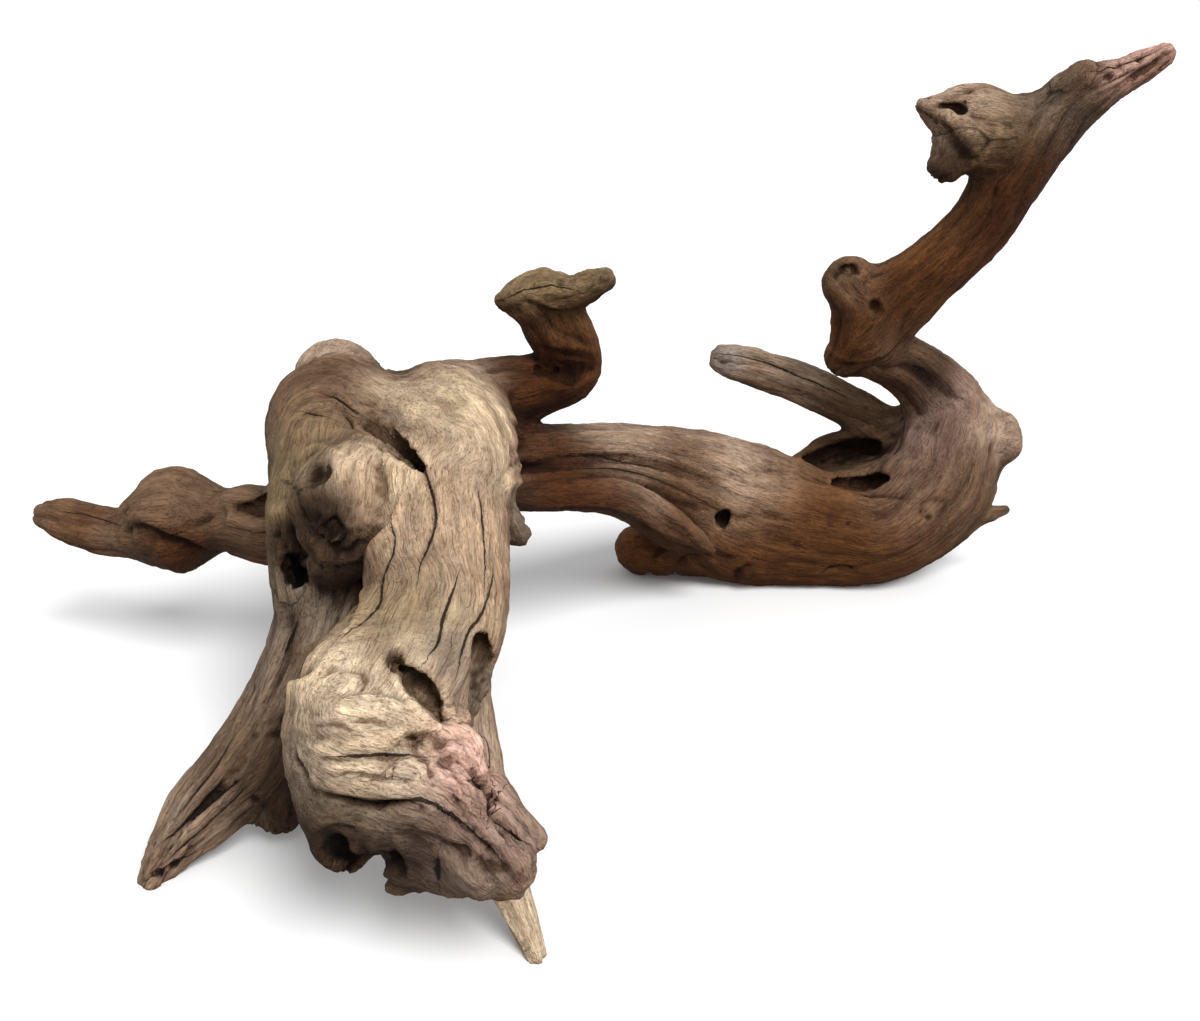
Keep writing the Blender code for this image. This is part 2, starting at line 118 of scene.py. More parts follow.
ARMS = {
    "left_arm": [
        (-178, 38, 169, 35, 34), (-221, 34, 124, 30, 28), (-257, 43, 120, 27, 26),
        (-275, 48, 118, 24, 24), (-307, 53, 116, 40, 34), (-331, 55, 109, 30, 28),
        (-351, 58, 104, 19, 20), (-376, 64, 104, 18, 18), (-403, 71, 109, 16, 15),
        (-414, 74, 110, 11, 11)],
    "horn_arm": [
        (-112, 53, 200, 25, 30), (-75, 76, 206, 25, 28), (-44, 88, 209, 23, 26),
        (-24, 88, 220, 24, 25), (-25, 86, 240, 24, 22), (-34, 80, 258, 23, 18), (-42, 75, 270, 19, 15)],
    "horn_head": [
        (-69, 69, 274, 4, 6), (-55, 71, 276, 12, 14), (-38, 74, 280, 13, 18), (-21, 71, 279, 11, 16),
        (-5, 67, 286, 10, 12), (3, 66, 289, 8, 9)],
    "right_arm": [
        (-97, 30, 172, 31, 34), (-62, 64, 153, 32, 31), (-23, 108, 135, 34, 31),
        (24, 151, 115, 39, 33), (78, 180, 85, 54, 38), (132, 197, 56, 60, 42), (194, 196, 42, 50, 43),
        (245, 191, 41, 44, 42), (290, 203, 79, 50, 42), (307, 218, 123, 40, 34)],
    "elbow_knob": [(322, 216, 112, 26, 24), (343, 211, 122, 23, 20)],
    "root_ends": [(127, 188, 34, 31, 32), (80, 195, 24, 25, 30), (36, 197, 22, 22, 28)],
    "lying_strand": [
        (-68, 34, 147, 10, 10), (-30, 58, 134, 11, 12), (12, 95, 118, 13, 14), (48, 117, 92, 12, 13),
        (78, 130, 65, 8, 9), (92, 133, 51, 3, 4)],
    "thorn": [(284, 180, 49, 13, 12), (322, 187, 56, 9, 8), (352, 194, 61, 4, 3)],
    "arm_back": [(134, 216, 47, 20, 18), (194, 227, 58, 22, 18), (249, 228, 69, 24, 22)],
    "back_rim": [
        (144, 221, 64, 16, 14), (180, 240, 76, 17, 12), (212, 251, 91, 17, 12),
        (249, 250, 103, 17, 14), (286, 236, 122, 28, 22)],
}
BRANCHES = {
    "neck": [
        (308, 224, 118, 40, 34), (296, 228, 150, 33, 30), (264, 222, 180, 26, 25),
        (229, 210, 199, 24, 22)],
    "upper_branch": [
        (203, 205, 196, 17, 18), (216, 205, 213, 30, 28), (237, 203, 241, 32, 28),
        (264, 198, 268, 26, 26), (293, 195, 300, 25, 25), (311, 193, 334, 26, 26),
        (327, 193, 366, 27, 26), (346, 189, 390, 23, 22), (366, 179, 406, 17, 17),
        (385, 170, 418, 12, 12), (400, 164, 428, 8, 8)],
    "branch_bump": [(346, 184, 402, 15, 14), (350, 179, 412, 12, 12)],
    "wing": [
        (311, 197, 375, 24, 22), (281, 190, 384, 24, 20), (254, 187, 388, 15, 14),
        (239, 190, 392, 5, 5)],
    "wing_lobe": [(300, 192, 364, 22, 20), (271, 184, 362, 22, 18), (259, 180, 350, 13, 12)],
    "lower_knob": [(212, 204, 243, 22, 22), (200, 204, 258, 22, 20)],
    "side_branch": [
        (276, 246, 104, 20, 18), (236, 257, 128, 18, 16), (190, 265, 149, 18, 14),
        (150, 268, 164, 18, 14), (120, 267, 172, 16, 12), (107, 267, 176, 12, 9)],
}
# Hollows and undercuts, which are taken out of the wood
HOLLOWS = {
    "long_hollow": [
        (-142, -36, 222, 4, 3), (-131, -49, 220, 5, 5), (-121, -65, 217, 6, 9),
        (-111, -80, 215, 6, 12), (-104, -93, 214, 3, 6)],
    "snout_dish": [(-164, -101, 219, 7, 4), (-158, -108, 215, 8, 5)],
    "snout_cup": [(-152, -134, 200, 6, 6), (-148, -130, 194, 6, 8)],
    "snout_cave": [(-150, -120, 172, 4, 8), (-141, -106, 166, 8, 13), (-138, -96, 155, 7, 13)],
    "side_cave": [(-180, -108, 159, 6, 9), (-175, -102, 150, 8, 11), (-170, -97, 141, 4, 9)],
    "nose_hollow": [
        (-99, -212, 156, 3, 8), (-91, -215, 149, 6, 12), (-83, -220, 139, 5, 10),
        (-79, -224, 133, 3, 7)],
    "rotten_pit": [(-64, -182, 154, 5, 10), (-60, -192, 140, 8, 13), (-62, -206, 124, 7, 12)],
    "ledge": [(-99, -244, 131, 2, 5), (-84, -246, 127, 4, 6), (-68, -242, 120, 4, 6)],
    "mouth": [(-128, -264, 88, 7, 7), (-124, -256, 78, 8, 12), (-120, -250, 68, 6, 12)],
    "lip_gap": [(-113, -274, 88, 3, 10), (-111, -263, 70, 6, 14), (-113, -248, 58, 9, 14)],
    "horn_lip": [(-44, 64, 228, 6, 10), (-20, 60, 224, 9, 14), (-4, 68, 226, 5, 10)],
    "arm_split": [(-254, 20, 140, 5, 9), (-236, 17, 142, 8, 14), (-214, 14, 144, 8, 12)],
    "upper_cavity": [(190, 233, 90, 11, 16), (218, 238, 98, 12, 20), (243, 239, 101, 9, 16)],
    "lower_cavity": [(204, 197, 85, 5, 14), (228, 200, 84, 8, 20), (249, 197, 89, 5, 14)],
    "root_notch": [(43, 183, -6, 6, 30), (44, 187, 5, 2, 26)],
    "root_split": [(65, 183, -6, 6, 30), (66, 187, 4, 2, 26)],
    "worm_hole": [(100, 126, 78, 6, 7), (102, 158, 72, 7, 8)],
    "arm_valley": [
        (-62, 26, 169, 4, 6), (-34, 50, 158, 4, 6), (32, 117, 140, 5, 6), (81, 141, 112, 5, 6),
        (132, 151, 89, 4, 5), (182, 152, 67, 3, 4)],
    "wing_hollow": [(262, 172, 392, 5, 9), (248, 172, 394, 5, 9)],
    "knob_face": [(187, 188, 271, 6, 9), (200, 186, 273, 6, 9)],
    "knob_pit": [(216, 174, 246, 4, 7), (220, 176, 240, 4, 6)],
}
# Roundings of limbs and hollows that aren't the usual ones
CROTCHES = {
    "leg": 22.0, "snout_knot": 6.0, "side_knot": 6.0, "thorn": 5.0, "lying_strand": 3.0, "flake": 4.0,
    "back_knob": 8.0, "grey_stub": 6.0, "root_ends": 12.0, "back_rim": 8.0, "fracture": 6.0,
    "branch_bump": 8.0, "ledge": 2.5,
}
# Ribs along the grain: how many go round the limb, how deep their valleys are, and their turns
RIBS = {
    "strand": (7, 1.2, 0.25), "leg": (7, 2.6, 0.2), "rear_lobe": (5, 3.0, 0.1), "spike": (5, 1.5, 0.1),
    "left_arm": (5, 2.0, 0.4), "horn_arm": (5, 2.0, 0.35), "right_arm": (7, 2.2, 0.3),
    "neck": (6, 3.0, 0.2), "upper_branch": (7, 2.2, 0.4), "wing": (4, 2.5, 0.2),
    "wing_lobe": (3, 2.0, 0.2), "side_branch": (4, 2.5, 0.3), "lower_knob": (3, 2.0, 0.2),
    "back_rim": (4, 2.0, 0.2), "fracture": (5, 2.0, 0.1),
}
# Where along a limb its ribs show, as shares of its length
RIB_RANGES = {"strand": (-1.0, 0.45), "leg": (0.42, 2.0)}
NO_RIBS = (1, 0.0, 0.0)
WHOLE_LIMB = (-1.0, 2.0)
RIB_FADE = 0.1
RIB_WANDER = ((0.5, 0.31, 0.0), (0.3, 0.73, 1.3))

# Grain that sweeps over the crown and down the trunk, and grain that turns across the nose
GRAIN_ROUTES = {
    "crown": [
        (-215, -62, 141, 34, 44), (-215, -33, 183, 38, 46), (-203, -5, 221, 40, 46),
        (-166, 8, 238, 40, 46), (-125, -7, 229, 40, 46), (-100, -34, 204, 41, 46),
        (-99, -71, 182, 44, 44), (-93, -116, 168, 41, 38), (-90, -152, 155, 39, 36),
        (-98, -180, 143, 42, 36), (-104, -192, 137, 40, 32)],
    "nose": [
        (-92, -186, 152, 22, 22), (-114, -184, 150, 24, 24), (-136, -189, 144, 27, 27),
        (-150, -202, 132, 31, 31), (-144, -214, 117, 34, 34), (-124, -220, 110, 36, 36),
        (-100, -227, 107, 38, 36), (-77, -235, 101, 37, 34), (-54, -247, 84, 33, 30),
        (-36, -257, 61, 28, 24)],
}

# Two grooves along the leg, with an open split in each
LEG_GROOVE = [(247, 785), (235, 800), (220, 815), (205, 830), (185, 845), (170, 858)]
LEG_GROOVE_2 = [(240, 780), (215, 795), (200, 810), (185, 825), (165, 840)]
# Open splits along routes of photograph pixels: half-width of the line of painted shade, depth, pixels
SPLITS = {
    "slot": (1.9, 5.0, (480, 783), (487, 794), (494, 805), (502, 818)),
    "main": (
        0.8, 2.6, (412, 457), (425, 470), (430, 485), (435, 505), (435, 525), (428, 545), (420, 565),
        (418, 580)),
    "top": (1.0, 2.2, (325, 394), (340, 398), (350, 405), (360, 413)),
    "brow": (0.8, 1.4, (303, 412), (314, 414), (325, 417)),
    "side": (0.8, 1.4, (345, 415), (351, 422), (357, 430)),
    "left": (
        0.9, 2.0, (395, 520), (394, 545), (387, 565), (382, 580), (380, 600), (370, 615), (345, 638)),
    "right": (0.8, 1.8, (478, 490), (482, 510), (485, 540), (486, 560), (485, 580)),
    "low": (1.0, 2.0, (457, 580), (450, 600), (443, 620), (440, 640), (430, 655)),
    "edge": (1.0, 2.0, (493, 575), (490, 595), (482, 615), (470, 630), (465, 645), (460, 665)),
    "nose_deep": (
        1.2, 3.0, (322, 792), (345, 798), (370, 803), (400, 803), (420, 800), (440, 805), (460, 820),
        (480, 840), (500, 860)),
    "nose_short": (1.0, 2.0, (335, 757), (360, 756), (385, 755), (415, 756)),
    "knuckle": (1.2, 3.0, (438, 858), (436, 870), (437, 884)),
    "flake": (1.3, 3.4, (482, 788), (495, 805), (510, 825), (525, 840)),
    "leg_1": (0.8, 1.8, *LEG_GROOVE),
    "leg_2": (1.1, 2.8, *LEG_GROOVE_2),
    "leg_3": (0.9, 1.8, (298, 620), (291, 638), (285, 655)),
    "leg_4": (0.7, 1.8, (258, 665), (250, 690), (240, 715)),
    "leg_5": (0.8, 1.8, (228, 745), (212, 768), (196, 790), (180, 812)),
    "leg_tip": (2.4, 5.0, (178, 862), (168, 868), (156, 875)),
    "arm_1": (0.5, 1.0, (60, 512), (80, 514), (100, 519), (122, 526)),
    "arm_2": (0.6, 1.2, (225, 525), (245, 530), (265, 532), (280, 538)),
    "horn_1": (0.8, 1.6, (505, 298), (525, 290), (550, 286), (575, 290)),
    "arm_4": (0.7, 1.6, (560, 470), (600, 468), (640, 474), (680, 490), (710, 505)),
    "arm_5": (0.6, 1.4, (535, 462), (560, 458), (600, 457), (640, 462), (670, 470)),
    "belly": (0.7, 1.6, (822, 572), (832, 567), (845, 566), (858, 572)),
    "tip": (0.9, 2.0, (1096, 70), (1112, 66), (1130, 62), (1150, 54)),
    "side_branch": (0.9, 1.8, (722, 354), (750, 358), (780, 368), (815, 382), (850, 398)),
    "spike": (0.7, 1.4, (480, 700), (490, 750), (498, 800)),
}
# Soft rolls and dips: half-width, height (a dip is negative), pixels
ROLLS = {
    "swirl": (
        2.6, -2.4, (314, 708), (308, 698), (307, 687), (318, 677), (335, 671), (354, 671), (363, 681),
        (357, 694), (335, 704), (318, 706)),
    "swirl_heart": (2.0, -1.2, (322, 692), (334, 684), (346, 681), (352, 686)),
    "flow_1": (2.4, -1.7, (289, 700), (309, 713), (335, 713), (361, 703), (387, 699), (413, 708)),
    "flow_2": (2.4, -1.8, (287, 714), (312, 725), (345, 723), (380, 716), (407, 722), (433, 730)),
    "flow_3": (2.4, -1.6, (289, 730), (315, 738), (348, 732), (380, 729), (403, 733)),
    "flow_4": (2.0, -1.6, (297, 752), (322, 755), (338, 744), (358, 737), (385, 737)),
    "flow_5": (1.8, -1.0, (372, 668), (385, 680), (400, 700), (420, 714)),
    "flow_6": (1.8, -1.0, (360, 672), (372, 686), (388, 706), (412, 716)),
    "leg_groove": (3.4, -2.0, *LEG_GROOVE),
    "leg_groove_2": (2.6, -1.6, *LEG_GROOVE_2),
    "leg_groove_3": (2.4, -1.5, (228, 745), (212, 768), (196, 790), (176, 816), (156, 840)),
    "tip_fibre_1": (1.5, -2.4, (1090, 90), (1112, 80), (1134, 68), (1156, 56), (1168, 48)),
    "tip_fibre_2": (1.4, -2.2, (1096, 98), (1120, 86), (1142, 72), (1160, 62)),
    "tip_fibre_3": (1.4, -2.0, (1100, 72), (1124, 62), (1146, 52), (1162, 44)),
    "slot": (4.0, -4.0, (478, 778), (486, 792), (496, 808), (508, 826), (518, 842)),
    "nose_mid": (6.0, 2.2, (340, 745), (360, 741), (385, 740), (404, 744)),
    "nose_low": (6.0, 2.4, (318, 772), (350, 774), (390, 777), (430, 775)),
    "deep_line": (
        2.4, -3.6, (326, 795), (350, 799), (375, 803), (400, 802), (425, 803), (445, 808), (468, 826),
        (490, 850)),
    "short_line": (2.2, -2.4, (335, 757), (360, 755), (385, 754), (412, 755)),
    "nose_crease": (2.2, -2.0, (318, 785), (330, 778), (352, 775), (380, 778), (410, 778)),
    "nose_lip": (6.0, 2.2, (320, 812), (350, 814), (385, 818), (420, 820)),
    "nose_lip_dip": (2.4, -1.8, (330, 822), (352, 816), (380, 826), (405, 834), (430, 838)),
    "nose_side": (3.0, -2.4, (288, 748), (298, 764), (306, 782), (314, 800)),
    "lip_dip": (3.5, -3.2, (376, 836), (390, 846), (398, 858), (400, 872)),
    "foot_rim": (3.0, 2.0, (312, 846), (325, 860), (345, 862), (362, 854)),
    "snout_top": (6.0, 3.0, (352, 446), (374, 452), (390, 466), (400, 484)),
    "snout_side": (5.0, 2.0, (402, 492), (398, 515), (385, 535)),
    "pit_ring": (
        3.0, 2.4, (306, 490), (300, 474), (305, 456), (320, 448), (336, 456), (341, 472), (334, 488),
        (318, 492)),
    "snout_groove": (3.4, -3.6, (306, 512), (313, 530), (326, 546), (342, 553)),
    "snout_gully": (3.0, -3.4, (332, 508), (338, 522), (344, 538), (345, 548)),
    "flange": (3.2, 2.8, (322, 540), (323, 556), (318, 570), (312, 582), (314, 594)),
    "crown_slope": (9.0, -3.0, (352, 402), (375, 408), (398, 422), (418, 440)),
    "crown_roll": (10.0, 2.0, (300, 395), (335, 380), (370, 385), (400, 402), (425, 428)),
    "side_ring": (2.6, -2.6, (278, 528), (290, 524), (302, 528), (312, 536)),
    "leg_rib": (5.0, 2.2, (280, 640), (272, 680), (262, 715), (252, 735)),
    "leg_rib_2": (4.0, 1.8, (236, 742), (225, 760), (205, 785), (188, 806)),
    "leg_dip": (5.0, -2.2, (300, 650), (290, 690), (282, 730), (276, 760)),
    "burl_roll": (4.0, 1.8, (138, 514), (155, 517), (175, 523), (192, 530), (206, 537)),
    "burl_eye": (2.2, -1.8, (131, 516), (138, 509), (147, 512), (146, 521)),
    "arm_gap": (4.0, -3.5, (238, 512), (250, 505), (262, 500), (275, 497)),
    "horn_ridge": (3.0, 2.0, (518, 296), (540, 291), (560, 292), (580, 288), (600, 276)),
    "horn_dip": (3.0, -1.6, (470, 374), (495, 370), (520, 370), (540, 376)),
    "horn_neck": (3.4, -2.2, (545, 318), (556, 330), (572, 338), (590, 344)),
    "horn_fold": (3.0, 1.8, (548, 330), (562, 340), (580, 348), (596, 352)),
    "arm_top": (8.0, 2.2, (530, 440), (570, 436), (620, 438), (670, 444), (710, 456), (750, 474)),
    "arm_groove": (3.4, -2.6, (540, 462), (580, 458), (630, 462), (680, 476), (730, 500)),
    "arm_belly": (6.0, -2.0, (750, 530), (790, 542), (830, 556), (870, 556)),
    "lip_wood": (3.0, 3.0, (505, 490), (514, 482), (524, 481)),
    "lobe_gap": (3.4, -3.5, (652, 562), (658, 553), (668, 550)),
    "lobe_gap_2": (3.4, -3.5, (676, 566), (686, 558), (700, 556)),
    "lobe_cave": (4.0, -4.5, (733, 578), (742, 570), (752, 566)),
    "elbow_back": (4.0, 2.4, (795, 462), (812, 446), (835, 436), (870, 428), (898, 420)),
    "elbow_top": (5.0, 1.8, (905, 425), (935, 418), (962, 402), (975, 396)),
    "elbow_dip": (6.0, -2.2, (985, 405), (988, 430), (990, 455), (985, 480)),
    "elbow_eye": (2.2, -2.2, (922, 518), (921, 506), (930, 500), (945, 502)),
    "neck_hollow": (10.0, -5.5, (908, 358), (925, 372), (938, 388)),
    "neck_ridge": (4.0, 2.2, (955, 404), (968, 392), (975, 380)),
    "branch_flat": (8.0, -1.6, (880, 310), (915, 285), (950, 250), (980, 210)),
    "wing_ridge": (4.5, 3.0, (925, 107), (945, 118), (965, 130), (980, 140)),
    "wing_rim": (3.4, 2.6, (925, 104), (945, 96), (968, 90), (990, 92)),
    "wing_fold": (3.5, -3.2, (940, 104), (955, 108), (975, 116), (992, 122)),
    "wing_facet": (7.0, -3.4, (948, 138), (962, 152), (974, 164)),
    "knob_face": (4.0, -2.2, (832, 278), (842, 268), (856, 266)),
    "knob_seam": (3.0, -2.4, (862, 286), (872, 276), (884, 270)),
    "side_flute": (3.0, -2.6, (720, 368), (750, 372), (785, 386), (820, 400)),
    "side_crest": (3.0, 2.0, (722, 348), (755, 350), (775, 360), (800, 368)),
}
# Folded edges: reach, height, pixels; wood to the right of the way along them lies lower
FOLDS = {
    "knob_edge": (8, 4.0, (382, 369), (364, 362), (345, 359), (322, 362), (302, 370), (288, 380)),
    "crown_right": (6, 2.4, (506, 402), (513, 420), (519, 436), (520, 452), (512, 468), (505, 480)),
    "snout_lip": (7, 3.4, (424, 482), (416, 468), (404, 457), (390, 448), (374, 439), (358, 434)),
    "snout_foot": (
        8, 4.0, (398, 506), (390, 528), (375, 542), (356, 552), (338, 557), (320, 548), (308, 532)),
    "snout_left": (6, 2.4, (298, 462), (299, 490), (305, 515), (315, 538)),
    "side_face": (6, 3.0, (312, 556), (296, 562), (284, 552), (276, 534)),
    "strand_left": (7, 3.0, (372, 548), (366, 580), (358, 610), (330, 650), (300, 680), (284, 700)),
    "nose_1": (5, 1.6, (312, 722), (340, 718), (375, 716), (405, 722)),
    "nose_2": (6, 2.4, (303, 760), (325, 756), (350, 759), (385, 757), (415, 757)),
    "nose_3": (
        9, 3.6, (318, 790), (345, 797), (370, 802), (400, 802), (425, 806), (450, 816), (475, 836),
        (500, 860)),
    "nose_4": (5, 2.0, (318, 776), (345, 770), (372, 772), (400, 776), (428, 772)),
    "ledge": (9, 3.6, (393, 741), (404, 734), (420, 732), (438, 732), (456, 736), (466, 744)),
    "fracture_left": (8, 2.6, (432, 806), (418, 790), (426, 770), (408, 748)),
    "foot_lip": (5, 2.6, (312, 834), (325, 826), (345, 823), (362, 830)),
    "flake_edge": (6, 2.4, (482, 788), (500, 808), (515, 828), (528, 842)),
    "knuckle": (6, -2.8, (428, 850), (445, 850), (465, 857), (482, 870), (496, 888)),
    "knuckle_ring": (4, -1.8, (440, 862), (456, 862), (472, 870), (484, 884)),
    "burl_lip": (10, 6.0, (128, 526), (140, 522), (156, 527), (172, 534), (190, 540), (206, 548)),
    "burl_wrinkle": (4, 1.4, (140, 518), (158, 520), (178, 528), (196, 535)),
    "burl_shoulder": (6, 2.2, (128, 504), (130, 520), (134, 545)),
    "burl_end": (5, 2.0, (222, 500), (228, 515), (224, 535)),
    "horn_lip": (8, 3.4, (543, 345), (560, 349), (580, 352), (594, 360)),
    "horn_head": (5, 2.6, (512, 305), (528, 300), (550, 306), (575, 308)),
    "strand_edge": (7, 3.4, (520, 508), (560, 506), (600, 506), (632, 514), (660, 530), (695, 550)),
    "valley_edge": (6, 1.6, (560, 452), (600, 452), (640, 455), (690, 468), (720, 486), (760, 500)),
    "strand_crest": (4, 1.6, (630, 492), (655, 506), (680, 525), (705, 552)),
    "elbow_rim": (6, 2.6, (905, 500), (880, 499), (845, 491), (815, 479)),
    "branch_foot": (8, 3.6, (832, 354), (850, 362), (875, 358), (892, 348), (905, 334)),
    "wing_edge": (8, 2.8, (925, 110), (945, 120), (958, 136), (978, 160)),
    "wing_shoulder": (6, 2.6, (998, 128), (990, 145), (975, 162), (962, 172)),
    "tip_break": (5, 2.4, (1100, 62), (1108, 74), (1130, 70), (1150, 62), (1165, 50)),
}
# The broken face of the nose: splinters lie between two routes, a step up or down at each
SPLINTER_SIDES = (
    [(424, 748), (430, 778), (446, 808), (470, 838), (492, 866)],
    [(470, 748), (486, 776), (500, 804), (516, 832), (528, 856)])
SPLINTERS = 7
SPLINTER_POINTS = 4
SPLINTER_REACH = 3.4
SPLINTER_KINDS = ((0, 1.6), (2, -1.3), (1, 2.4))     # points left out at the start, height
for splinter in range(SPLINTERS):
    share = (splinter + 0.5) / SPLINTERS
    start, height = SPLINTER_KINDS[splinter % len(SPLINTER_KINDS)]
    route = [
        (a[0] + share * (b[0] - a[0]), a[1] + share * (b[1] - a[1]))
        for a, b in zip(*SPLINTER_SIDES)]
    FOLDS["splinter_%d" % splinter] = (SPLINTER_REACH, height, *route[start:start + SPLINTER_POINTS])

# Pits: pixel, radius, depth, and how much the wood round them swells
PITS = [
    (320, 470, 9, 3.4, 0.6), (312, 476, 4, 1.6, 0.2), (327, 463, 3, 1.4, 0.2), (315, 518, 5, 3.4, 0.5),
    (327, 533, 6, 4.5, 0.6), (340, 545, 5, 4.0, 0.4), (277, 735, 4, 3, 0.5), (537, 368, 3, 2.4, 0.3),
    (556, 370, 3, 2.4, 0.3), (875, 305, 5, 3, 0.5), (842, 270, 4, 2, 0.3), (415, 742, 5, 4, 0.3),
    (394, 661, 6, 3.5, 0.8), (402, 665, 4, 3, 0.7), (440, 744, 5, 3, 0.3), (455, 800, 4, 3, 0.3),
    (432, 772, 3, 2, 0.3), (385, 862, 8, 6, 0.5), (398, 874, 5, 4, 0.4), (928, 518, 3, 2.4, 0.8),
    (848, 524, 2, 1.5, 0.3), (690, 536, 3, 1.5, 0.3), (560, 284, 4, 2, 0.4), (254, 800, 3, 3, 0.4),
    (512, 452, 4, 3.2, 0.4), (517, 466, 3, 2.4, 0.3), (278, 533, 3, 2.4, 0.5), (1118, 66, 4, 3, 0.3),
    (1140, 60, 3, 2.4, 0.3),
]
# Small swellings: pixel, radius, height
KNOBS = [
    (463, 722, 8, 4.0), (402, 761, 8, 3.6), (309, 588, 6, 3.4), (412, 640, 7, 1.6), (277, 515, 9, 4.0),
    (294, 506, 7, 3.0), (270, 540, 6, 2.5), (302, 530, 6, 2.5), (845, 300, 9, 2.5),
    (1012, 418, 8, 2.0), (600, 278, 6, 1.5), (632, 556, 12, 2.5), (660, 564, 7, 2.0),
    (688, 566, 8, 2.0), (476, 742, 6, 2.5), (925, 108, 5, 1.5), (468, 872, 13, 3.5),
    (520, 868, 9, 2.0), (500, 840, 7, 1.5), (400, 848, 6, 2.4), (448, 716, 6, 2.0), (332, 520, 5, 2.0),
]
# Rotten or broken wood: pixel, radius, how rough it is, how dark it is
RAGGED = [
    (320, 470, 11, 1.0, 0.9), (322, 522, 14, 1.5, 1.0), (342, 540, 10, 1.3, 0.9),
    (288, 538, 14, 1.3, 0.8), (300, 566, 12, 0.5, 0.9), (478, 700, 14, 1.1, 0.5),
    (515, 458, 9, 1.4, 0.8), (522, 522, 14, 1.2, 0.4), (436, 745, 10, 0.9, 0.2),
    (452, 785, 24, 1.1, 0.0), (500, 850, 24, 0.9, 0.1), (345, 850, 14, 0.8, 0.6),
    (392, 862, 12, 1.2, 0.9), (150, 868, 14, 1.0, 0.3), (600, 280, 10, 1.4, 0.4),
    (545, 292, 22, 0.7, 0.2), (1132, 62, 20, 0.6, 0.1), (940, 122, 20, 0.8, 0.3),
    (845, 272, 12, 0.9, 0.4), (277, 728, 8, 1.2, 0.7), (722, 358, 8, 0.8, 0.2),
    (745, 574, 12, 1.0, 0.8), (396, 661, 8, 1.1, 0.9),
]
# Knots out of the photograph's sight: limb, share of the way along, turn round it, radius, height
FAR_KNOTS = [
    ("strand", 0.24, -1.2, 11, 5.0), ("strand", 0.55, -2.2, 8, -4.0), ("leg", 0.15, -1.8, 13, 5.0),
    ("leg", 0.45, -0.8, 8, 3.0), ("leg", 0.62, -2.3, 6, -3.0), ("left_arm", 0.62, -1.5, 9, 3.5),
    ("left_arm", 0.35, -2.4, 6, -3.0), ("right_arm", 0.22, -1.3, 9, 3.5),
    ("right_arm", 0.42, -2.0, 8, -4.0), ("right_arm", 0.62, -1.1, 12, 4.0),
    ("right_arm", 0.8, -2.2, 7, -3.0), ("neck", 0.5, -1.6, 8, 3.0),
    ("upper_branch", 0.3, -1.2, 9, 3.5), ("upper_branch", 0.52, -2.1, 6, -3.0),
    ("upper_branch", 0.72, -1.4, 7, 2.5), ("horn_arm", 0.55, -1.6, 8, 3.0),
    ("side_branch", 0.45, -1.4, 5, 2.0), ("rear_lobe", 0.5, -1.7, 6, 2.5),
    ("spike", 0.5, -1.5, 4, 1.5), ("web", 0.5, -1.5, 7, -3.0),
]
# Drying splits out of sight: limb and how many it has
FAR_SPLITS = {
    "strand": 5, "leg": 6, "left_arm": 4, "right_arm": 7, "upper_branch": 5, "neck": 2, "horn_arm": 2,
    "spike": 3, "side_branch": 2, "rear_lobe": 2, "back_rim": 2, "root_ends": 2,
}
FAR_SPLIT_HALF, FAR_SPLIT_DEEP = 1.3, 2.0
FAR_SPLIT_SHORT, FAR_SPLIT_LONGER = 18.0, 14.0       # half-length and how much some are longer
FAR_SPLIT_TURN, FAR_SPLIT_SPAN = -0.35, -2.4         # where round the limb they start and end
FAR_SPLIT_STEP = 0.618    # share of the span from one to the next
FAR_SPLIT_FIRST, FAR_SPLIT_EXTRA = 0.8, 0.6          # gaps before the first, more gaps than splits
FAR_SPLIT_WANDER = ((0.11, 1 / 15, 2.1), (0.07, 1 / 5.3, 1.0))
FAR_SPLIT_BARK = 8.0      # distance from the bark where they end
FAR_SPLIT_FADE = 0.1      # share below which they are closed

# Which limbs share a grain, so that neighbours rarely do
GRAINS = (
    ("crown", "side_branch", "wing", "wing_lobe", "horn_head", "elbow_knob"),
    ("leg", "rear_lobe", "web", "horn_arm", "neck", "upper_branch", "branch_bump", "lying_strand",
     "root_ends", "thorn", "back_rim", "grey_stub", "back_knob", "side_knot"),
    ("nose", "snout_knot", "spike", "left_arm", "right_arm", "arm_back", "lower_knob"),
)
GRAIN_LEAD = {"crown": 4.0, "nose": 6.0}     # how much nearer a route's grain counts
GRAIN_REACH = 60.0    # no grain counts farther from its bark than this
GRAIN_BLEND = 1.6     # width over which one grain goes over into another
GRAIN_APART = 700.0   # offset between the grains of two limbs
GRAIN_LEAST = 0.02    # share below which a grain lifts nothing
SPREAD = 0.7          # how much a thin limb's grain is drawn apart
# How strongly the grain stands out
PLAIN_RIDGE = 0.7
RIDGES = {
    "nose": 0.9, "leg": 1.2, "rear_lobe": 1.2, "spike": 1.1, "crown": 0.5, "snout_knot": 0.6,
    "left_arm": 0.35, "horn_arm": 0.4, "horn_head": 1.1, "wing": 1.0, "wing_lobe": 1.0,
    "upper_branch": 0.55, "neck": 0.6, "back_knob": 0.5, "side_knot": 1.0, "grey_stub": 1.0,
}
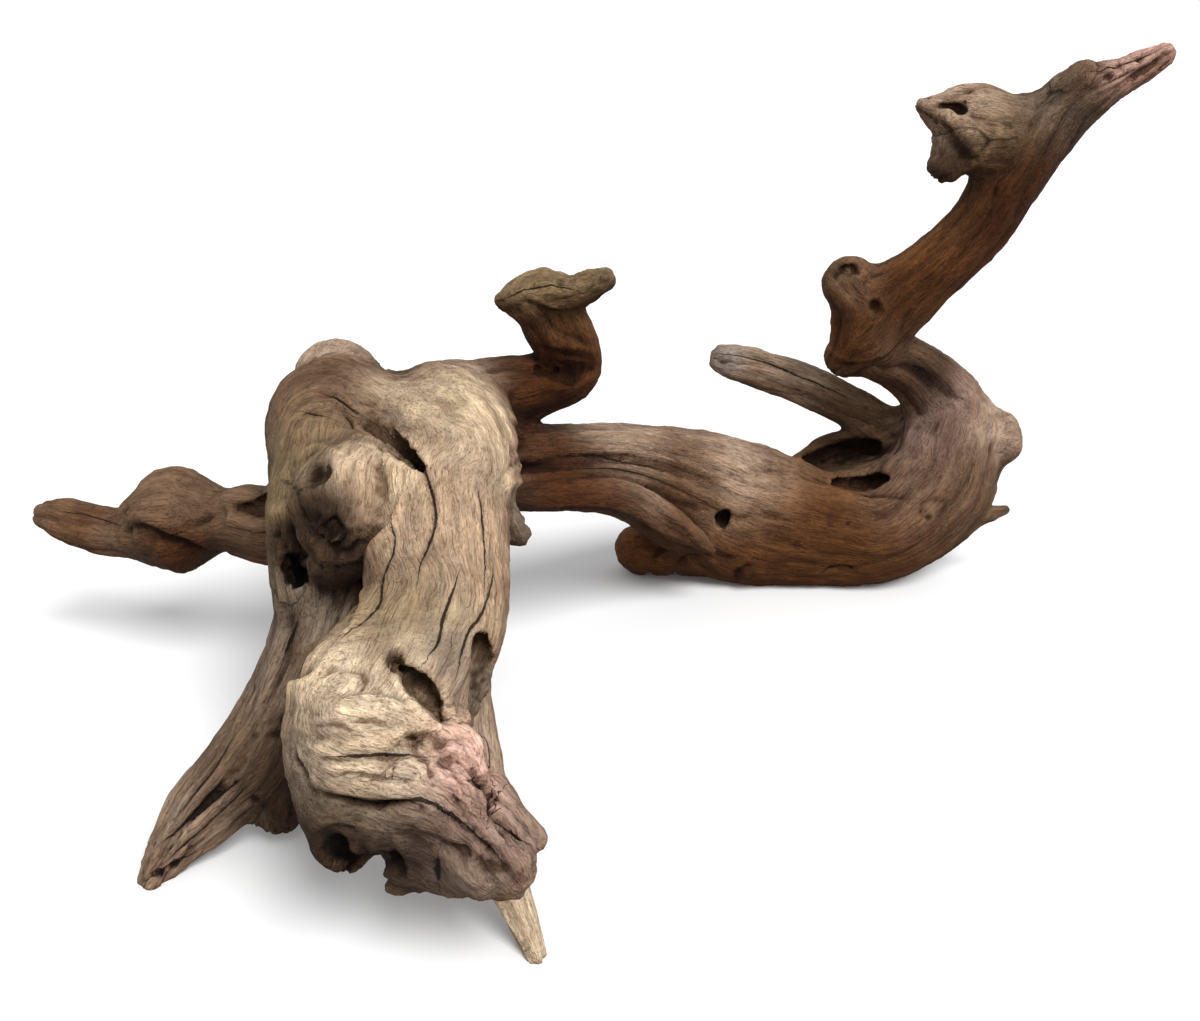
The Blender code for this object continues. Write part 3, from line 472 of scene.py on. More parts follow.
# Layers of relief: height, size (or sizes along, across and into the limb), seed
CAVE_WALLS = ((1.2, 7.0, 31), (0.8, 3.2, 32))
RAGGED_WOOD = ((1.8, 6.5, 41), (1.6, 3.4, 42))
WORN_WOOD = ((0.7, 26.0, 21), (0.5, 11.0, 22), (0.35, 4.5, 23))
GRAIN_BENDS = ((4.0, (60, 40, 40), 15), (1.6, (24, 14, 14), 16))
GRAIN_WAVES = ((1.0, (90, 14, 14), 11),)
GRAIN_RIDGES = ((0.7, (70, 9, 9), 12), (0.6, (44, 4.5, 4.5), 13))
WIDE_CAVE = 7.0       # half-width of a hollow whose walls have their full relief

# Marks on the bark: how far they reach, in their own sizes unless it is a split, and their shape
ROLL_REACH = 2.4
FOLD_REACH = 2.2
FOLD_EDGE = 1.1       # width of a fold's drop
FOLD_FALLOFF = 1.6
SPLIT_REACH = 12.0
NO_SPLIT = 30.0       # distance from a split where none is near
SPLIT_WALL = 1.7
SPLIT_ENDS = 0.05     # half-width below which a split has no depth
SPOT_REACH = 3.0
KNOB_SHARPNESS = 1.5
PIT_FLOOR, PIT_RIM, PIT_RIM_HALF = 0.8, 1.4, 0.4
ENDS = (0.01, 0.99)   # share of a route that counts, so that its ends stay open
END_FALLOFF = 0.4

# Numbers that scatter the noise
PRIMES = (374761393, 668265263, 1440662683, 974634777)
MIXER = 1274126177
BITS_32, BITS_16 = 0xFFFFFFFF, 0xFFFF


def smooth_rows(stations, step=STEP):
    """Rows a short step apart on a smooth curve that passes through every station."""
    given = np.array(stations, float)
    ends = np.vstack((2 * given[0] - given[1], given, 2 * given[-1] - given[-2]))
    rows = []
    for a, b, c, d in zip(ends, ends[1:], ends[2:], ends[3:]):
        count = max(1, round(np.linalg.norm(c[:3] - b[:3]) / step))
        for t in np.arange(count)[:, None] / count:
            curve = b + 0.5 * t * (c - a + t * (2 * a - 5 * b + 4 * c - d + t * (3 * (b - c) + d - a)))
            rows.append(curve)
    return np.vstack(rows + [given[-1]])


def unit(vectors):
    return vectors / np.linalg.norm(vectors, axis=-1, keepdims=True).clip(TINY)


def waves(places, parts):
    """Sum of sine waves, each given by its height, pace and start."""
    return sum(height * np.sin(places * pace + start) for height, pace, start in parts)


def on_line(points, line):
    """For each point: the nearest row of a line, the place on it, and how far off the point is."""
    row = ((line**2).sum(1) - 2 * points @ line.T).argmin(1)
    square = np.full(len(points), np.inf)
    place = np.zeros(len(points))
    for side in (-1, 0):
        first = (row + side).clip(0, len(line) - 2)
        leg = line[first + 1] - line[first]
        offset = points - line[first]
        part = ((offset * leg).sum(1) / (leg * leg).sum(1).clip(TINY)).clip(0, 1)
        away = ((offset - part[:, None] * leg) ** 2).sum(1)
        closer = away < square
        square[closer] = away[closer]
        place[closer] = (first + part)[closer]
    return row, place, np.sqrt(square)


class Limb:
    """A run of elliptical sections with round ends, and how far a point is from its bark."""

    def __init__(self, stations, rounding, ribs, shown):
        rows = smooth_rows(stations)
        self.heart = rows[:, :3]
        self.half = rows[:, 3:].clip(THINNEST)
        self.run = unit(np.gradient(self.heart, axis=0))
        self.across = unit(np.cross(self.run, SIGHT))
        self.deep = np.cross(self.run, self.across)
        self.rounding = rounding
        self.ribs, self.valley, self.turns = ribs
        self.shown = shown
        steps = np.linalg.norm(np.diff(self.heart, axis=0), axis=1)
        self.length = np.concatenate(([0], np.cumsum(steps)))
        reach = self.half.max(1, keepdims=True) + 2 * rounding + MARGIN
        self.low = (self.heart - reach).min(0)
        self.high = (self.heart + reach).max(0)

    def near(self, points):
        return np.flatnonzero(((points > self.low) & (points < self.high)).all(1))

    def at(self, values, place):
        """The values at a place, which is a row number with a fraction."""
        place = place.clip(0, len(values) - 1)
        first = place.astype(int).clip(0, len(values) - 2)
        part = place - first
        if values.ndim > 1:
            part = part[:, None]
        return values[first] * (1 - part) + values[first + 1] * part

    def frame(self, points):
        """Distance from the bark, and the place of each point along, across and into the limb."""
        place = on_line(points, self.heart)[1]
        offset = points - self.at(self.heart, place)
        half = self.at(self.half, place)
        thin = half.min(1)
        along, across, deep = (
            (offset * self.at(way, place)).sum(1) for way in (self.run, self.across, self.deep))
        share = np.sqrt((across / half[:, 0]) ** 2 + (deep / half[:, 1]) ** 2 + (along / thin) ** 2)
        length = np.linalg.norm(offset, axis=1)
        off_heart = share > HEART
        bark = np.where(off_heart, length / np.where(off_heart, share, 1), thin)
        distance = length - bark + self.valley * self.valleys(across, deep, place)
        return distance, self.at(self.length, place) + along, across, deep

    def valleys(self, across, deep, place):
        """Depth, 0 to 1, of the narrow valleys between the ribs."""
        turn = self.turns * 2 * math.pi * place / len(self.heart)
        round_limb = np.arctan2(deep, across) + turn
        rib = np.abs(np.sin(0.5 * (self.ribs * round_limb + waves(place, RIB_WANDER))))
        share = place / len(self.heart)
        first, last = self.shown
        fade = ((share - first) / RIB_FADE).clip(0, 1) * ((last - share) / RIB_FADE).clip(0, 1)
        return fade * (1 - rib) ** 2


def grow(family, rounding):
    return {
        name: Limb(stations, CROTCHES.get(name, rounding), RIBS.get(name, NO_RIBS),
                   RIB_RANGES.get(name, WHOLE_LIMB))
        for name, stations in family.items()}


def scattered(cells):
    """A steady number from 0 to 1 for each cell, which is given by four whole numbers."""
    mixed = sum(cell * prime for cell, prime in zip(cells, PRIMES)) & BITS_32
    mixed = ((mixed ^ (mixed >> 13)) * MIXER) & BITS_32
    return ((mixed ^ (mixed >> 16)) & BITS_16) / BITS_16


def noise(points, seed):
    """Smooth noise from -1 to 1 with features one unit wide."""
    whole = np.floor(points).astype(np.int64)
    part = points - whole
    part = part * part * (3 - 2 * part)
    total = np.zeros(len(points))
    for corner in itertools.product((0, 1), repeat=3):
        weight = np.ones(len(points))
        for axis in range(3):
            weight *= part[:, axis] if corner[axis] else 1 - part[:, axis]
        total += weight * scattered([*(whole + corner).T, seed])
    return 2 * total - 1


def relief(points, layers):
    return sum(height * noise(points / size, seed) for height, size, seed in layers)


def rounded_union(a, b, radius):
    """The nearer of two distances, with the corner between them filled by a rounding."""
    overlap = np.maximum(radius - np.abs(a - b), 0) / radius
    return np.minimum(a, b) - overlap * overlap * radius / 4


def wood_field(points, limbs, hollows):
    """Distance from the wood's surface, negative inside."""
    result = []
    for some in np.array_split(points, max(1, len(points) // CHUNK)):
        distance = np.full(len(some), OPEN_AIR)
        for limb in limbs:
            near = limb.near(some)
            distance[near] = rounded_union(distance[near], limb.frame(some[near])[0], limb.rounding)
        for hollow in hollows:
            near = hollow.near(some)
            rough = min(1.0, hollow.half[:, 0].max() / WIDE_CAVE) ** 2
            taken = hollow.frame(some[near])[0] + rough * relief(some[near], CAVE_WALLS)
            distance[near] = -rounded_union(-distance[near], taken, hollow.rounding)
        result.append(distance)
    return np.concatenate(result)


def blocks_near_surface(field, low, high):
    """Lowest corners, counted in cells, of the small cubes that may hold surface."""
    block = CELL * COARSE
    counts = np.ceil((high - low) / block).astype(int)
    blocks = np.stack(np.meshgrid(*map(np.arange, counts), indexing="ij"), -1).reshape(-1, 3)
    held = np.abs(field(low + (blocks + 0.5) * block)) < BLOCK_REACH
    inner = np.array(list(itertools.product(range(COARSE), repeat=3)))
    return (blocks[held][:, None] * COARSE + inner).reshape(-1, 3)


def draw_surface(field, low, high):
    """Closed mesh where the field is zero: each cube is cut into six tetrahedra round its diagonal."""
    cubes = blocks_near_surface(field, low, high)
    corners = np.array(list(itertools.product((0, 1), repeat=3)))
    side = int(cubes.max()) + 2
    weights = np.array((side * side, side, 1))
    numbers = (cubes @ weights)[:, None] + corners @ weights
    keys = np.unique(numbers)
    places = low + CELL * np.stack((keys // weights[0], keys // side % side, keys % side), -1)
    values = field(places)
    values = np.where(np.abs(values) < LEAST, LEAST, values)
    spots = np.searchsorted(keys, numbers)
    held = values[spots]
    spots = spots[(held.min(1) < 0) & (held.max(1) > 0)]
    ends, faces = [], []
    for order in itertools.permutations((4, 2, 1)):
        tetra = spots[:, np.cumsum((0,) + order)]
        inside = values[tetra] < 0
        for pattern in itertools.product((False, True), repeat=4):
            if 0 < sum(pattern) < 4:
                cut_tetrahedra(tetra[(inside == pattern).all(1)], pattern, places, ends, faces)
    return join_crossings(np.vstack(ends), np.concatenate(faces), places, values)


def cut_tetrahedra(tetra, pattern, places, ends, faces):
    """Adds the crossing edges' ends and the triangles that separate inner from outer corners."""
    inner = [corner for corner in range(4) if pattern[corner]]
    outer = [corner for corner in range(4) if not pattern[corner]]
    pairs = list(itertools.product(inner, outer))
    if len(pairs) == 4:
        triangles = [(pairs[0], pairs[1], pairs[3]), (pairs[0], pairs[3], pairs[2])]
    else:
        triangles = [pairs]
    outward = places[tetra[:, outer]].mean(1) - places[tetra[:, inner]].mean(1)
    for triangle in triangles:
        a, b, c = (places[tetra[:, pair]].mean(1) for pair in triangle)
        flipped = (np.cross(b - a, c - a) * outward).sum(1) < 0
        edges = np.stack([np.sort(tetra[:, pair], 1) for pair in triangle], 1)
        edges[flipped] = edges[flipped][:, ::-1]
        start = sum(map(len, faces)) * 3
        ends.append(edges.reshape(-1, 2))
        faces.append(np.arange(start, start + len(edges) * 3).reshape(-1, 3))


def join_crossings(ends, faces, places, values):
    """One vertex for each edge that crosses the surface."""
    keys, index = np.unique(ends[:, 0] * len(places) + ends[:, 1], return_inverse=True)
    one, two = keys // len(places), keys % len(places)
    part = (values[one] / (values[one] - values[two]))[:, None]
    return places[one] * (1 - part) + places[two] * part, index.ravel()[faces]


def normals_of(vertices, faces):
    a, b, c = (vertices[faces[:, corner]] for corner in range(3))
    across = np.cross(b - a, c - a)
    total = np.stack([
        sum(np.bincount(faces[:, corner], across[:, axis], len(vertices)) for corner in range(3))
        for axis in range(3)], 1)
    return unit(total)


def edge_pairs(faces):
    count = faces.max() + 1
    pairs = np.sort(np.vstack((faces[:, :2], faces[:, 1:], faces[:, ::2])), 1)
    keys = np.unique(pairs[:, 0] * count + pairs[:, 1])
    return np.stack((keys // count, keys % count), 1)


def neighbour_mean(values, pairs):
    """Mean of the values at each vertex's neighbours."""
    one, two = pairs.T
    count = len(values)
    number = np.bincount(one, minlength=count) + np.bincount(two, minlength=count)
    columns = [
        np.bincount(one, column[two], count) + np.bincount(two, column[one], count)
        for column in values.T]
    return np.stack(columns, 1) / number.clip(1)[:, None]


def largest_body(vertices, faces):
    """Keeps the faces of the largest connected body."""
    label = np.arange(len(vertices))
    one, two = edge_pairs(faces).T
    while True:
        before = label.copy()
        lower = np.minimum(label[one], label[two])
        np.minimum.at(label, one, lower)
        np.minimum.at(label, two, lower)
        label = label[label]
        if (label == before).all():
            break
    kept = faces[label[faces[:, 0]] == np.bincount(label).argmax()]
    used, index = np.unique(kept, return_inverse=True)
    return vertices[used], index.reshape(-1, 3)


class Grain:
    """Where each point lies in the limbs: along, across and into each, and which of them counts."""

    def __init__(self, points, limbs):
        self.frames = {}
        self.spots = np.zeros((len(GRAINS), len(points), 3))
        self.ridges = np.full((len(GRAINS), len(points)), PLAIN_RIDGE)
        bark = np.full((len(GRAINS), len(points)), GRAIN_REACH)
        for which, names in enumerate(GRAINS):
            for number, name in enumerate(names):
                limb = limbs[name]
                near = limb.near(points)
                distance, along, across, deep = limb.frame(points[near])
                self.frames[name] = (near, distance, along, across, deep)
                half = limb.at(limb.half[:, 0], along / limb.length[-1] * (len(limb.heart) - 1))
                spread = (limb.half[:, 0].mean() / half) ** SPREAD
                distance = distance - GRAIN_LEAD.get(name, 0.0)
                closer = distance < bark[which, near]
                chosen = near[closer]
                bark[which, chosen] = distance[closer]
                spots = np.stack((along + GRAIN_APART * number, across * spread, deep), 1)
                self.spots[which, chosen] = spots[closer]
                self.ridges[which, chosen] = RIDGES.get(name, PLAIN_RIDGE)
        share = np.exp(-(bark - bark.min(0)) / GRAIN_BLEND)
        self.share = share / share.sum(0)

    def lift(self, which):
        """The points that one of the grains counts for, and how high its fibres stand at each."""
        held = np.flatnonzero(self.share[which] > GRAIN_LEAST)
        where = self.spots[which, held]
        where = where + relief(where, GRAIN_BENDS)[:, None] * (0.0, 1.0, 1.0)
        fibres = relief(where, GRAIN_WAVES)
        for height, size, seed in GRAIN_RIDGES:
            fibres += height * (1 - 3 * np.abs(noise(where / size, seed)))
        return held, self.share[which, held] * self.ridges[which, held] * fibres


class Photo:
    """Casts pixels of the photograph on the wood."""

    def __init__(self, vertices, faces):
        self.tree = BVHTree.FromPolygons(vertices.tolist(), faces.tolist())

    def point(self, u, v):
        right = (u - PHOTO_WIDE / 2) / FOCAL_PIXELS
        up = (PHOTO_HIGH / 2 - v) / FOCAL_PIXELS
        ray = SIGHT + right * PICTURE_RIGHT + up * PICTURE_UP
        spot = self.tree.ray_cast(Vector(EYE), Vector(ray))[0]
        return None if spot is None else np.array(spot)

    def spots(self, table, points):
        """For each row of a table: the points near its pixel's spot, how many radii away they
        are, and the rest of the row."""
        for u, v, radius, *sizes in table:
            spot = self.point(u, v)
            if spot is not None:
                yield *round_spot(points, spot, radius), *sizes

    def routes(self, table, reach, points, normals):
        """For each route of a table: its sizes, the points near it, how far off and how far to its
        right they are, and a share that falls to 0 at its ends."""
        for size, strength, *pixels in table.values():
            found = [self.point(u, v) for u, v in pixels]
            found = [spot for spot in found if spot is not None]
            if len(found) > 1:
                route = smooth_rows(found, ROUTE_STEP)
                near, away, row = off_route(points, route, reach(size))
                run = unit(np.gradient(route, axis=0))[row]
                right = unit(np.cross(run, normals[near]))
                across = ((points[near] - route[row]) * right).sum(1)
                share = (row / (len(route) - 1)).clip(*ENDS)
                ends = np.sin(math.pi * share) ** END_FALLOFF
                yield size, strength, near, away, across, ends


def round_spot(points, spot, radius):
    """The points near a spot, and how many radii away they are."""
    away = np.linalg.norm(points - spot, axis=1) / radius
    near = np.flatnonzero(away < SPOT_REACH)
    return near, away[near]


def off_route(points, route, reach):
    """Points within reach of a route: their numbers, distances and nearest rows of the route."""
    inside = ((points > route.min(0) - reach) & (points < route.max(0) + reach)).all(1)
    near = np.flatnonzero(inside)
    row, _, away = on_line(points[near], route)
    close = away < reach
    return near[close], away[close], row[close]


def far_split(frame, whole, number, count):
    """One of a limb's splits out of sight: how far beside it each point is and how open it is."""
    _, distance, along, across, deep = frame
    middle = whole * (number + FAR_SPLIT_FIRST) / (count + FAR_SPLIT_EXTRA)
    reach = FAR_SPLIT_SHORT + FAR_SPLIT_LONGER * scattered(np.array((number, count, 1, 5)))
    start = FAR_SPLIT_TURN + FAR_SPLIT_SPAN * (FAR_SPLIT_STEP * (number + 1) % 1.0)
    wander = waves(along, [
        (height, pace, shift * number) for height, pace, shift in FAR_SPLIT_WANDER])
    fade = np.exp(-(((along - middle) / reach) ** 4)) * (np.abs(distance) < FAR_SPLIT_BARK)
    return np.hypot(deep, across) * (np.arctan2(deep, across) - start - wander), fade


def split_field(points, normals, photo, grain, limbs):
    """The nearest split: how far beside its middle each point is, how open it is there, how deep."""
    nearest = np.zeros((3, len(points)))
    nearest[0] = NO_SPLIT

    def take(near, across, half, deep):
        closer = np.abs(across) < np.abs(nearest[0, near])
        nearest[:, near[closer]] = np.stack((across, half, deep))[:, closer]

    routes = photo.routes(SPLITS, lambda half: SPLIT_REACH, points, normals)
    for half, deep, near, away, across, ends in routes:
        lost = np.sqrt((away**2 - across**2).clip(0))
        fade = ends * (1 - lost / SPLIT_REACH).clip(0)
        take(near, across, half * fade, deep * fade)
    for name, count in FAR_SPLITS.items():
        # the strand's own grain is the crown's
        frame = grain.frames["crown" if name == "strand" else name]
        for number in range(count):
            across, fade = far_split(frame, limbs[name].length[-1], number, count)
            held = fade > FAR_SPLIT_FADE
            take(frame[0][held], across[held], FAR_SPLIT_HALF * fade[held], FAR_SPLIT_DEEP * fade[held])
    return nearest


def ragged_wood(points, photo):
    """How rough and how dark rot and breaks have made each point."""
    rough = np.zeros((2, len(points)))
    for near, away, *sizes in photo.spots(RAGGED, points):
        fade = np.exp(-(away**4))
        for kind, size in enumerate(sizes):
            rough[kind, near] = np.maximum(rough[kind, near], size * fade)
    return rough


def pit(away, depth, rim):
    """Height of a pit with a swollen rim, or of a knot where the depth is negative."""
    floor = depth * np.exp(-((away / PIT_FLOOR) ** 4))
    return rim * np.exp(-(((away - PIT_RIM) / PIT_RIM_HALF) ** 2)) - floor


def carve(vertices, faces, limbs, photo):
    """Displaces the drawn surface along its normals by everything that weather cut into it."""
    normals = normals_of(vertices, faces)
    grain = Grain(vertices, limbs)
    lift = np.zeros(len(vertices))
    rolls = photo.routes(ROLLS, lambda half: ROLL_REACH * half, vertices, normals)
    for half, height, near, away, _, ends in rolls:
        lift[near] += height * ends * np.exp(-((away / half) ** 2))
    folds = photo.routes(FOLDS, lambda reach: FOLD_REACH * reach, vertices, normals)
    for reach, height, near, away, across, ends in folds:
        profile = -np.tanh(across / FOLD_EDGE) * np.exp(-((away / reach) ** FOLD_FALLOFF))
        lift[near] += height * ends * profile
    for near, away, height in photo.spots(KNOBS, vertices):
        lift[near] += height * np.exp(-(away**2) * KNOB_SHARPNESS)
    for near, away, depth, rim in photo.spots(PITS, vertices):
        lift[near] += pit(away, depth, rim)
    for name, share, turn, radius, height in FAR_KNOTS:
        limb = limbs[name]
        row = round(share * (len(limb.heart) - 1))
        out = math.cos(turn) * limb.across[row] * limb.half[row, 0]
        spot = limb.heart[row] + out + math.sin(turn) * limb.deep[row] * limb.half[row, 1]
        near, away = round_spot(vertices, spot, radius)
        lift[near] += pit(away, -height, 1.0)
    beside_it, opening, depth = split_field(vertices, normals, photo, grain, limbs)
    lift -= depth * np.exp(-((beside_it / SPLIT_WALL) ** 2)) * (opening > SPLIT_ENDS)
    lift += ragged_wood(vertices, photo)[0] * relief(vertices, RAGGED_WOOD)
    lift += relief(vertices, WORN_WOOD)
    for which in range(len(GRAINS)):
        held, fibres = grain.lift(which)
        lift[held] += fibres
    return vertices + normals * lift[:, None], normals


def placed(name, data):
    """A new object in the scene."""
    thing = bpy.data.objects.new(name, data)
    bpy.context.scene.collection.objects.link(thing)
    return thing


def reduced(vertices, faces, name):
    """Mesh with the faces that the finished wood may have."""
    dense = bpy.data.meshes.new(name)
    dense.from_pydata(vertices.tolist(), [], faces.tolist())
    carrier = placed(name, dense)
    fewer = carrier.modifiers.new("fewer_faces", "DECIMATE")
    fewer.ratio = min(1.0, TRIANGLES / len(faces))
    depsgraph = bpy.context.evaluated_depsgraph_get()
    result = bpy.data.meshes.new_from_object(carrier.evaluated_get(depsgraph))
    bpy.data.objects.remove(carrier)
    bpy.data.meshes.remove(dense)
    return result


def arrays(mesh):
    vertices = np.empty(len(mesh.vertices) * 3)
    mesh.vertices.foreach_get("co", vertices)
    mesh.calc_loop_triangles()
    faces = np.empty(len(mesh.loop_triangles) * 3, np.int64)
    mesh.loop_triangles.foreach_get("vertices", faces)
    return vertices.reshape(-1, 3), faces.reshape(-1, 3)


# Colours of the bare wood
COLOURS = {
    "bleached": (0.62, 0.49, 0.35), "gold": (0.41, 0.295, 0.205), "straw": (0.7, 0.58, 0.43),
    "tan": (0.41, 0.31, 0.235), "grey_brown": (0.22, 0.18, 0.14), "moss_brown": (0.215, 0.165, 0.09),
    "brown": (0.15, 0.092, 0.056), "pink": (0.74, 0.485, 0.42), "rose_brown": (0.32, 0.225, 0.19),
    "dusk": (0.105, 0.079, 0.066), "red_brown": (0.13, 0.05, 0.012), "dark_red": (0.066, 0.02, 0.003),
    "umber_painted_shade": (0.03, 0.015, 0.007), "ash": (0.29, 0.25, 0.225),
}
# Where each colour lies: pixel of the photograph, radius in millimetres, strength
TINTS = {
    "moss_brown": [(285, 460, 45, 0.6), (395, 600, 34, 1.4), (550, 290, 34, 1.0), (990, 130, 34, 0.6)],
    "brown": [
        # (300, 665) darkens the nose's upper-left edge: painted shade
        (340, 385, 60, 0.9), (395, 600, 26, 1.0), (300, 665, 14, 1.2), (225, 760, 55, 0.9),
        (90, 525, 50, 0.9), (60, 512, 30, 0.5), (170, 490, 34, 0.9), (255, 530, 26, 0.8),
        (625, 432, 40, 0.4), (680, 470, 40, 0.6), (700, 520, 30, 0.8), (905, 500, 44, 1.0),
        (960, 500, 40, 0.8), (905, 350, 34, 0.9), (1085, 70, 22, 1.4), (850, 285, 26, 0.9),
        (860, 400, 30, 0.8)],
    "tan": [
        (325, 352, 26, 1.3), (430, 430, 24, 1.0), (430, 570, 30, 0.5), (168, 850, 40, 1.0),
        (490, 740, 34, 0.7), (102, 545, 18, 0.8), (480, 368, 24, 1.2), (620, 436, 60, 0.9),
        (740, 475, 50, 0.8), (1005, 425, 26, 1.2), (955, 110, 36, 1.3), (790, 375, 34, 0.8)],
    "bleached": [
        (400, 385, 26, 1.3), (458, 400, 46, 1.0), (492, 450, 34, 1.0), (485, 620, 24, 0.5),
        (312, 690, 30, 0.9), (374, 480, 26, 1.3)],
    "gold": [(450, 530, 60, 0.8), (495, 560, 36, 0.6)],
    "grey_brown": [
        (450, 648, 24, 1.0), (300, 750, 24, 1.8), (475, 870, 14, 0.8), (270, 660, 50, 0.8),
        (300, 610, 26, 0.9), (200, 800, 40, 0.6), (478, 690, 18, 1.0), (318, 470, 12, 0.8),
        (1070, 100, 40, 0.6), (522, 522, 20, 1.3)],
    # (375, 762) is made stronger on the nose's downward face: painted light
    "straw": [(385, 700, 40, 1.2), (375, 762, 26, 2.2), (525, 925, 45, 1.1)],
    "dusk": [(402, 762, 9, 2.0), (400, 815, 26, 1.3), (440, 862, 26, 1.0), (525, 830, 14, 0.5)],
    "pink": [(455, 765, 22, 1.3), (1150, 58, 24, 0.8), (1118, 72, 18, 0.9)],
    "rose_brown": [(495, 825, 32, 1.0), (905, 500, 44, 0.25), (925, 440, 36, 0.4), (965, 400, 26, 0.6)],
    # Painted shade: near-black in caves, pits, gaps and the mouths of hollows
    "umber_painted_shade": [
        (345, 835, 26, 3.0), (395, 862, 18, 1.2), (290, 790, 26, 4.0), (325, 510, 20, 3.0),
        (290, 545, 20, 1.3), (350, 580, 26, 1.2), (840, 455, 26, 1.0), (935, 375, 26, 0.9),
        (950, 165, 20, 1.2), (360, 556, 12, 1.2)],
    # Red-brown and dark red on the horn arm and the arms' undersides: partly the wood's own colour,
    # partly painted shade
    "red_brown": [
        (84, 526, 28, 1.6), (560, 325, 26, 0.9), (780, 560, 80, 1.2), (690, 495, 40, 0.6),
        (880, 560, 60, 1.0), (635, 550, 40, 0.9), (940, 275, 50, 1.1), (845, 335, 26, 1.3)],
    "dark_red": [
        (180, 552, 24, 1.4), (540, 385, 46, 2.6), (580, 372, 24, 1.2), (560, 470, 28, 2.4),
        (600, 500, 46, 3.0), (900, 300, 34, 1.0), (1010, 190, 60, 1.2), (860, 525, 40, 0.7)],
    "ash": [(722, 358, 20, 1.0)],
}
# The colour of the rest and how much it counts everywhere, and the falloff of the others
WOOD = np.array((0.16, 0.105, 0.066))
WOOD_WEIGHT = 0.12
TINT_FALLOFF = 1.8
# Painted shade on wood that faces down and painted light on wood that faces the sky, level wood and how
# soon it turns
PAINTED_SHADE_BELOW, PAINTED_LIGHT_ABOVE = np.array((0.55, 0.42, 0.33)), np.array((1.22, 1.2, 1.18))
PAINTED_SHADE_LEVEL, PAINTED_SHADE_TURN = 0.5, 0.6

# Shelter: rays, their reach, their start above the wood, the turn from one to the next, how much
# less the farthest wood hides, a direction that no normal has, and rounds of smoothing
# The rays measure how hidden the wood is, for painted shade in caves and cracks
RAYS = 10
SHELTER_REACH = 45.0
RAY_START = 0.8
RAY_TURN = 2.4
RAY_FADE = 0.5
ASKEW = (0.31, 0.52, 0.79)
SHELTER_ROUNDS = 2
# Crests, for painted shade in grooves and painted highlight on ridges: rounds of smoothing that take
# away a ridge, and the height of a full one
CRESTS = ((5, 0.9), (25, 5.0))
CREST_LIMIT = 2.0


def tints_with_painted_shade(points, normals, photo):
    """Colour of the bare wood: its region's, lighter where it faces the sky and darker underneath,
    which is painted light and painted shade.
    """
    total = np.full(len(points), WOOD_WEIGHT)
    mixed = np.tile(WOOD * WOOD_WEIGHT, (len(points), 1))
    for colour, table in TINTS.items():
        for near, away, strength in photo.spots(table, points):
            weight = strength * np.exp(-away * away * TINT_FALLOFF)
            total[near] += weight
            mixed[near] += weight[:, None] * COLOURS[colour]
    # Painted light on wood that faces up, painted shade on wood that faces down
    up = (PAINTED_SHADE_LEVEL + PAINTED_SHADE_TURN * normals[:, 2:]).clip(0, 1)
    colours = mixed / total[:, None] * (PAINTED_SHADE_BELOW * (1 - up) + PAINTED_LIGHT_ABOVE * up)
    return np.hstack((colours, np.ones((len(points), 1))))


def hollow_painted_shade(vertices, faces, normals, pairs):
    """0 on open wood and 1 deep in caves and cracks, where the wood is given painted shade."""
    tree = BVHTree.FromPolygons(vertices.tolist(), faces.tolist())
    aside = unit(np.cross(normals, ASKEW))
    third = np.cross(normals, aside)
    hidden = np.zeros(len(vertices))
    starts = [Vector(spot) for spot in (vertices + RAY_START * normals).tolist()]
    for ray_number in range(RAYS):
        lean = math.sqrt((ray_number + 0.5) / RAYS)
        turn = RAY_TURN * ray_number
        rays = (normals * math.sqrt(1 - lean * lean)
                + aside * (lean * math.cos(turn)) + third * (lean * math.sin(turn)))
        for vertex, (start, ray) in enumerate(zip(starts, rays.tolist())):
            distance = tree.ray_cast(start, ray, SHELTER_REACH)[3]
            if distance is not None:
                hidden[vertex] += 1 - RAY_FADE * distance / SHELTER_REACH
    hidden = hidden[:, None] / RAYS
    for _ in range(SHELTER_ROUNDS):
        hidden = 0.5 * hidden + 0.5 * neighbour_mean(hidden, pairs)
    return hidden


def crests(vertices, normals, pairs):
    """Above zero on ridges and below zero in grooves."""
    smooth = vertices.copy()
    total = np.zeros(len(vertices))
    for rounds, height in CRESTS:
        for _ in range(rounds):
            smooth = neighbour_mean(smooth, pairs)
        total += ((vertices - smooth) * normals).sum(1) / height
    return total.clip(-CREST_LIMIT, CREST_LIMIT)


# Kinds of attribute by how many numbers they hold
KINDS = {1: ("FLOAT", "value"), 3: ("FLOAT_VECTOR", "vector"), 4: ("FLOAT_COLOR", "color")}


def add_attribute(mesh, name, values):
    kind, field = KINDS[values.size // len(values)]
    attribute = mesh.attributes.new(name, kind, "POINT")
    attribute.data.foreach_set(field, np.ascontiguousarray(values, np.float32).ravel())


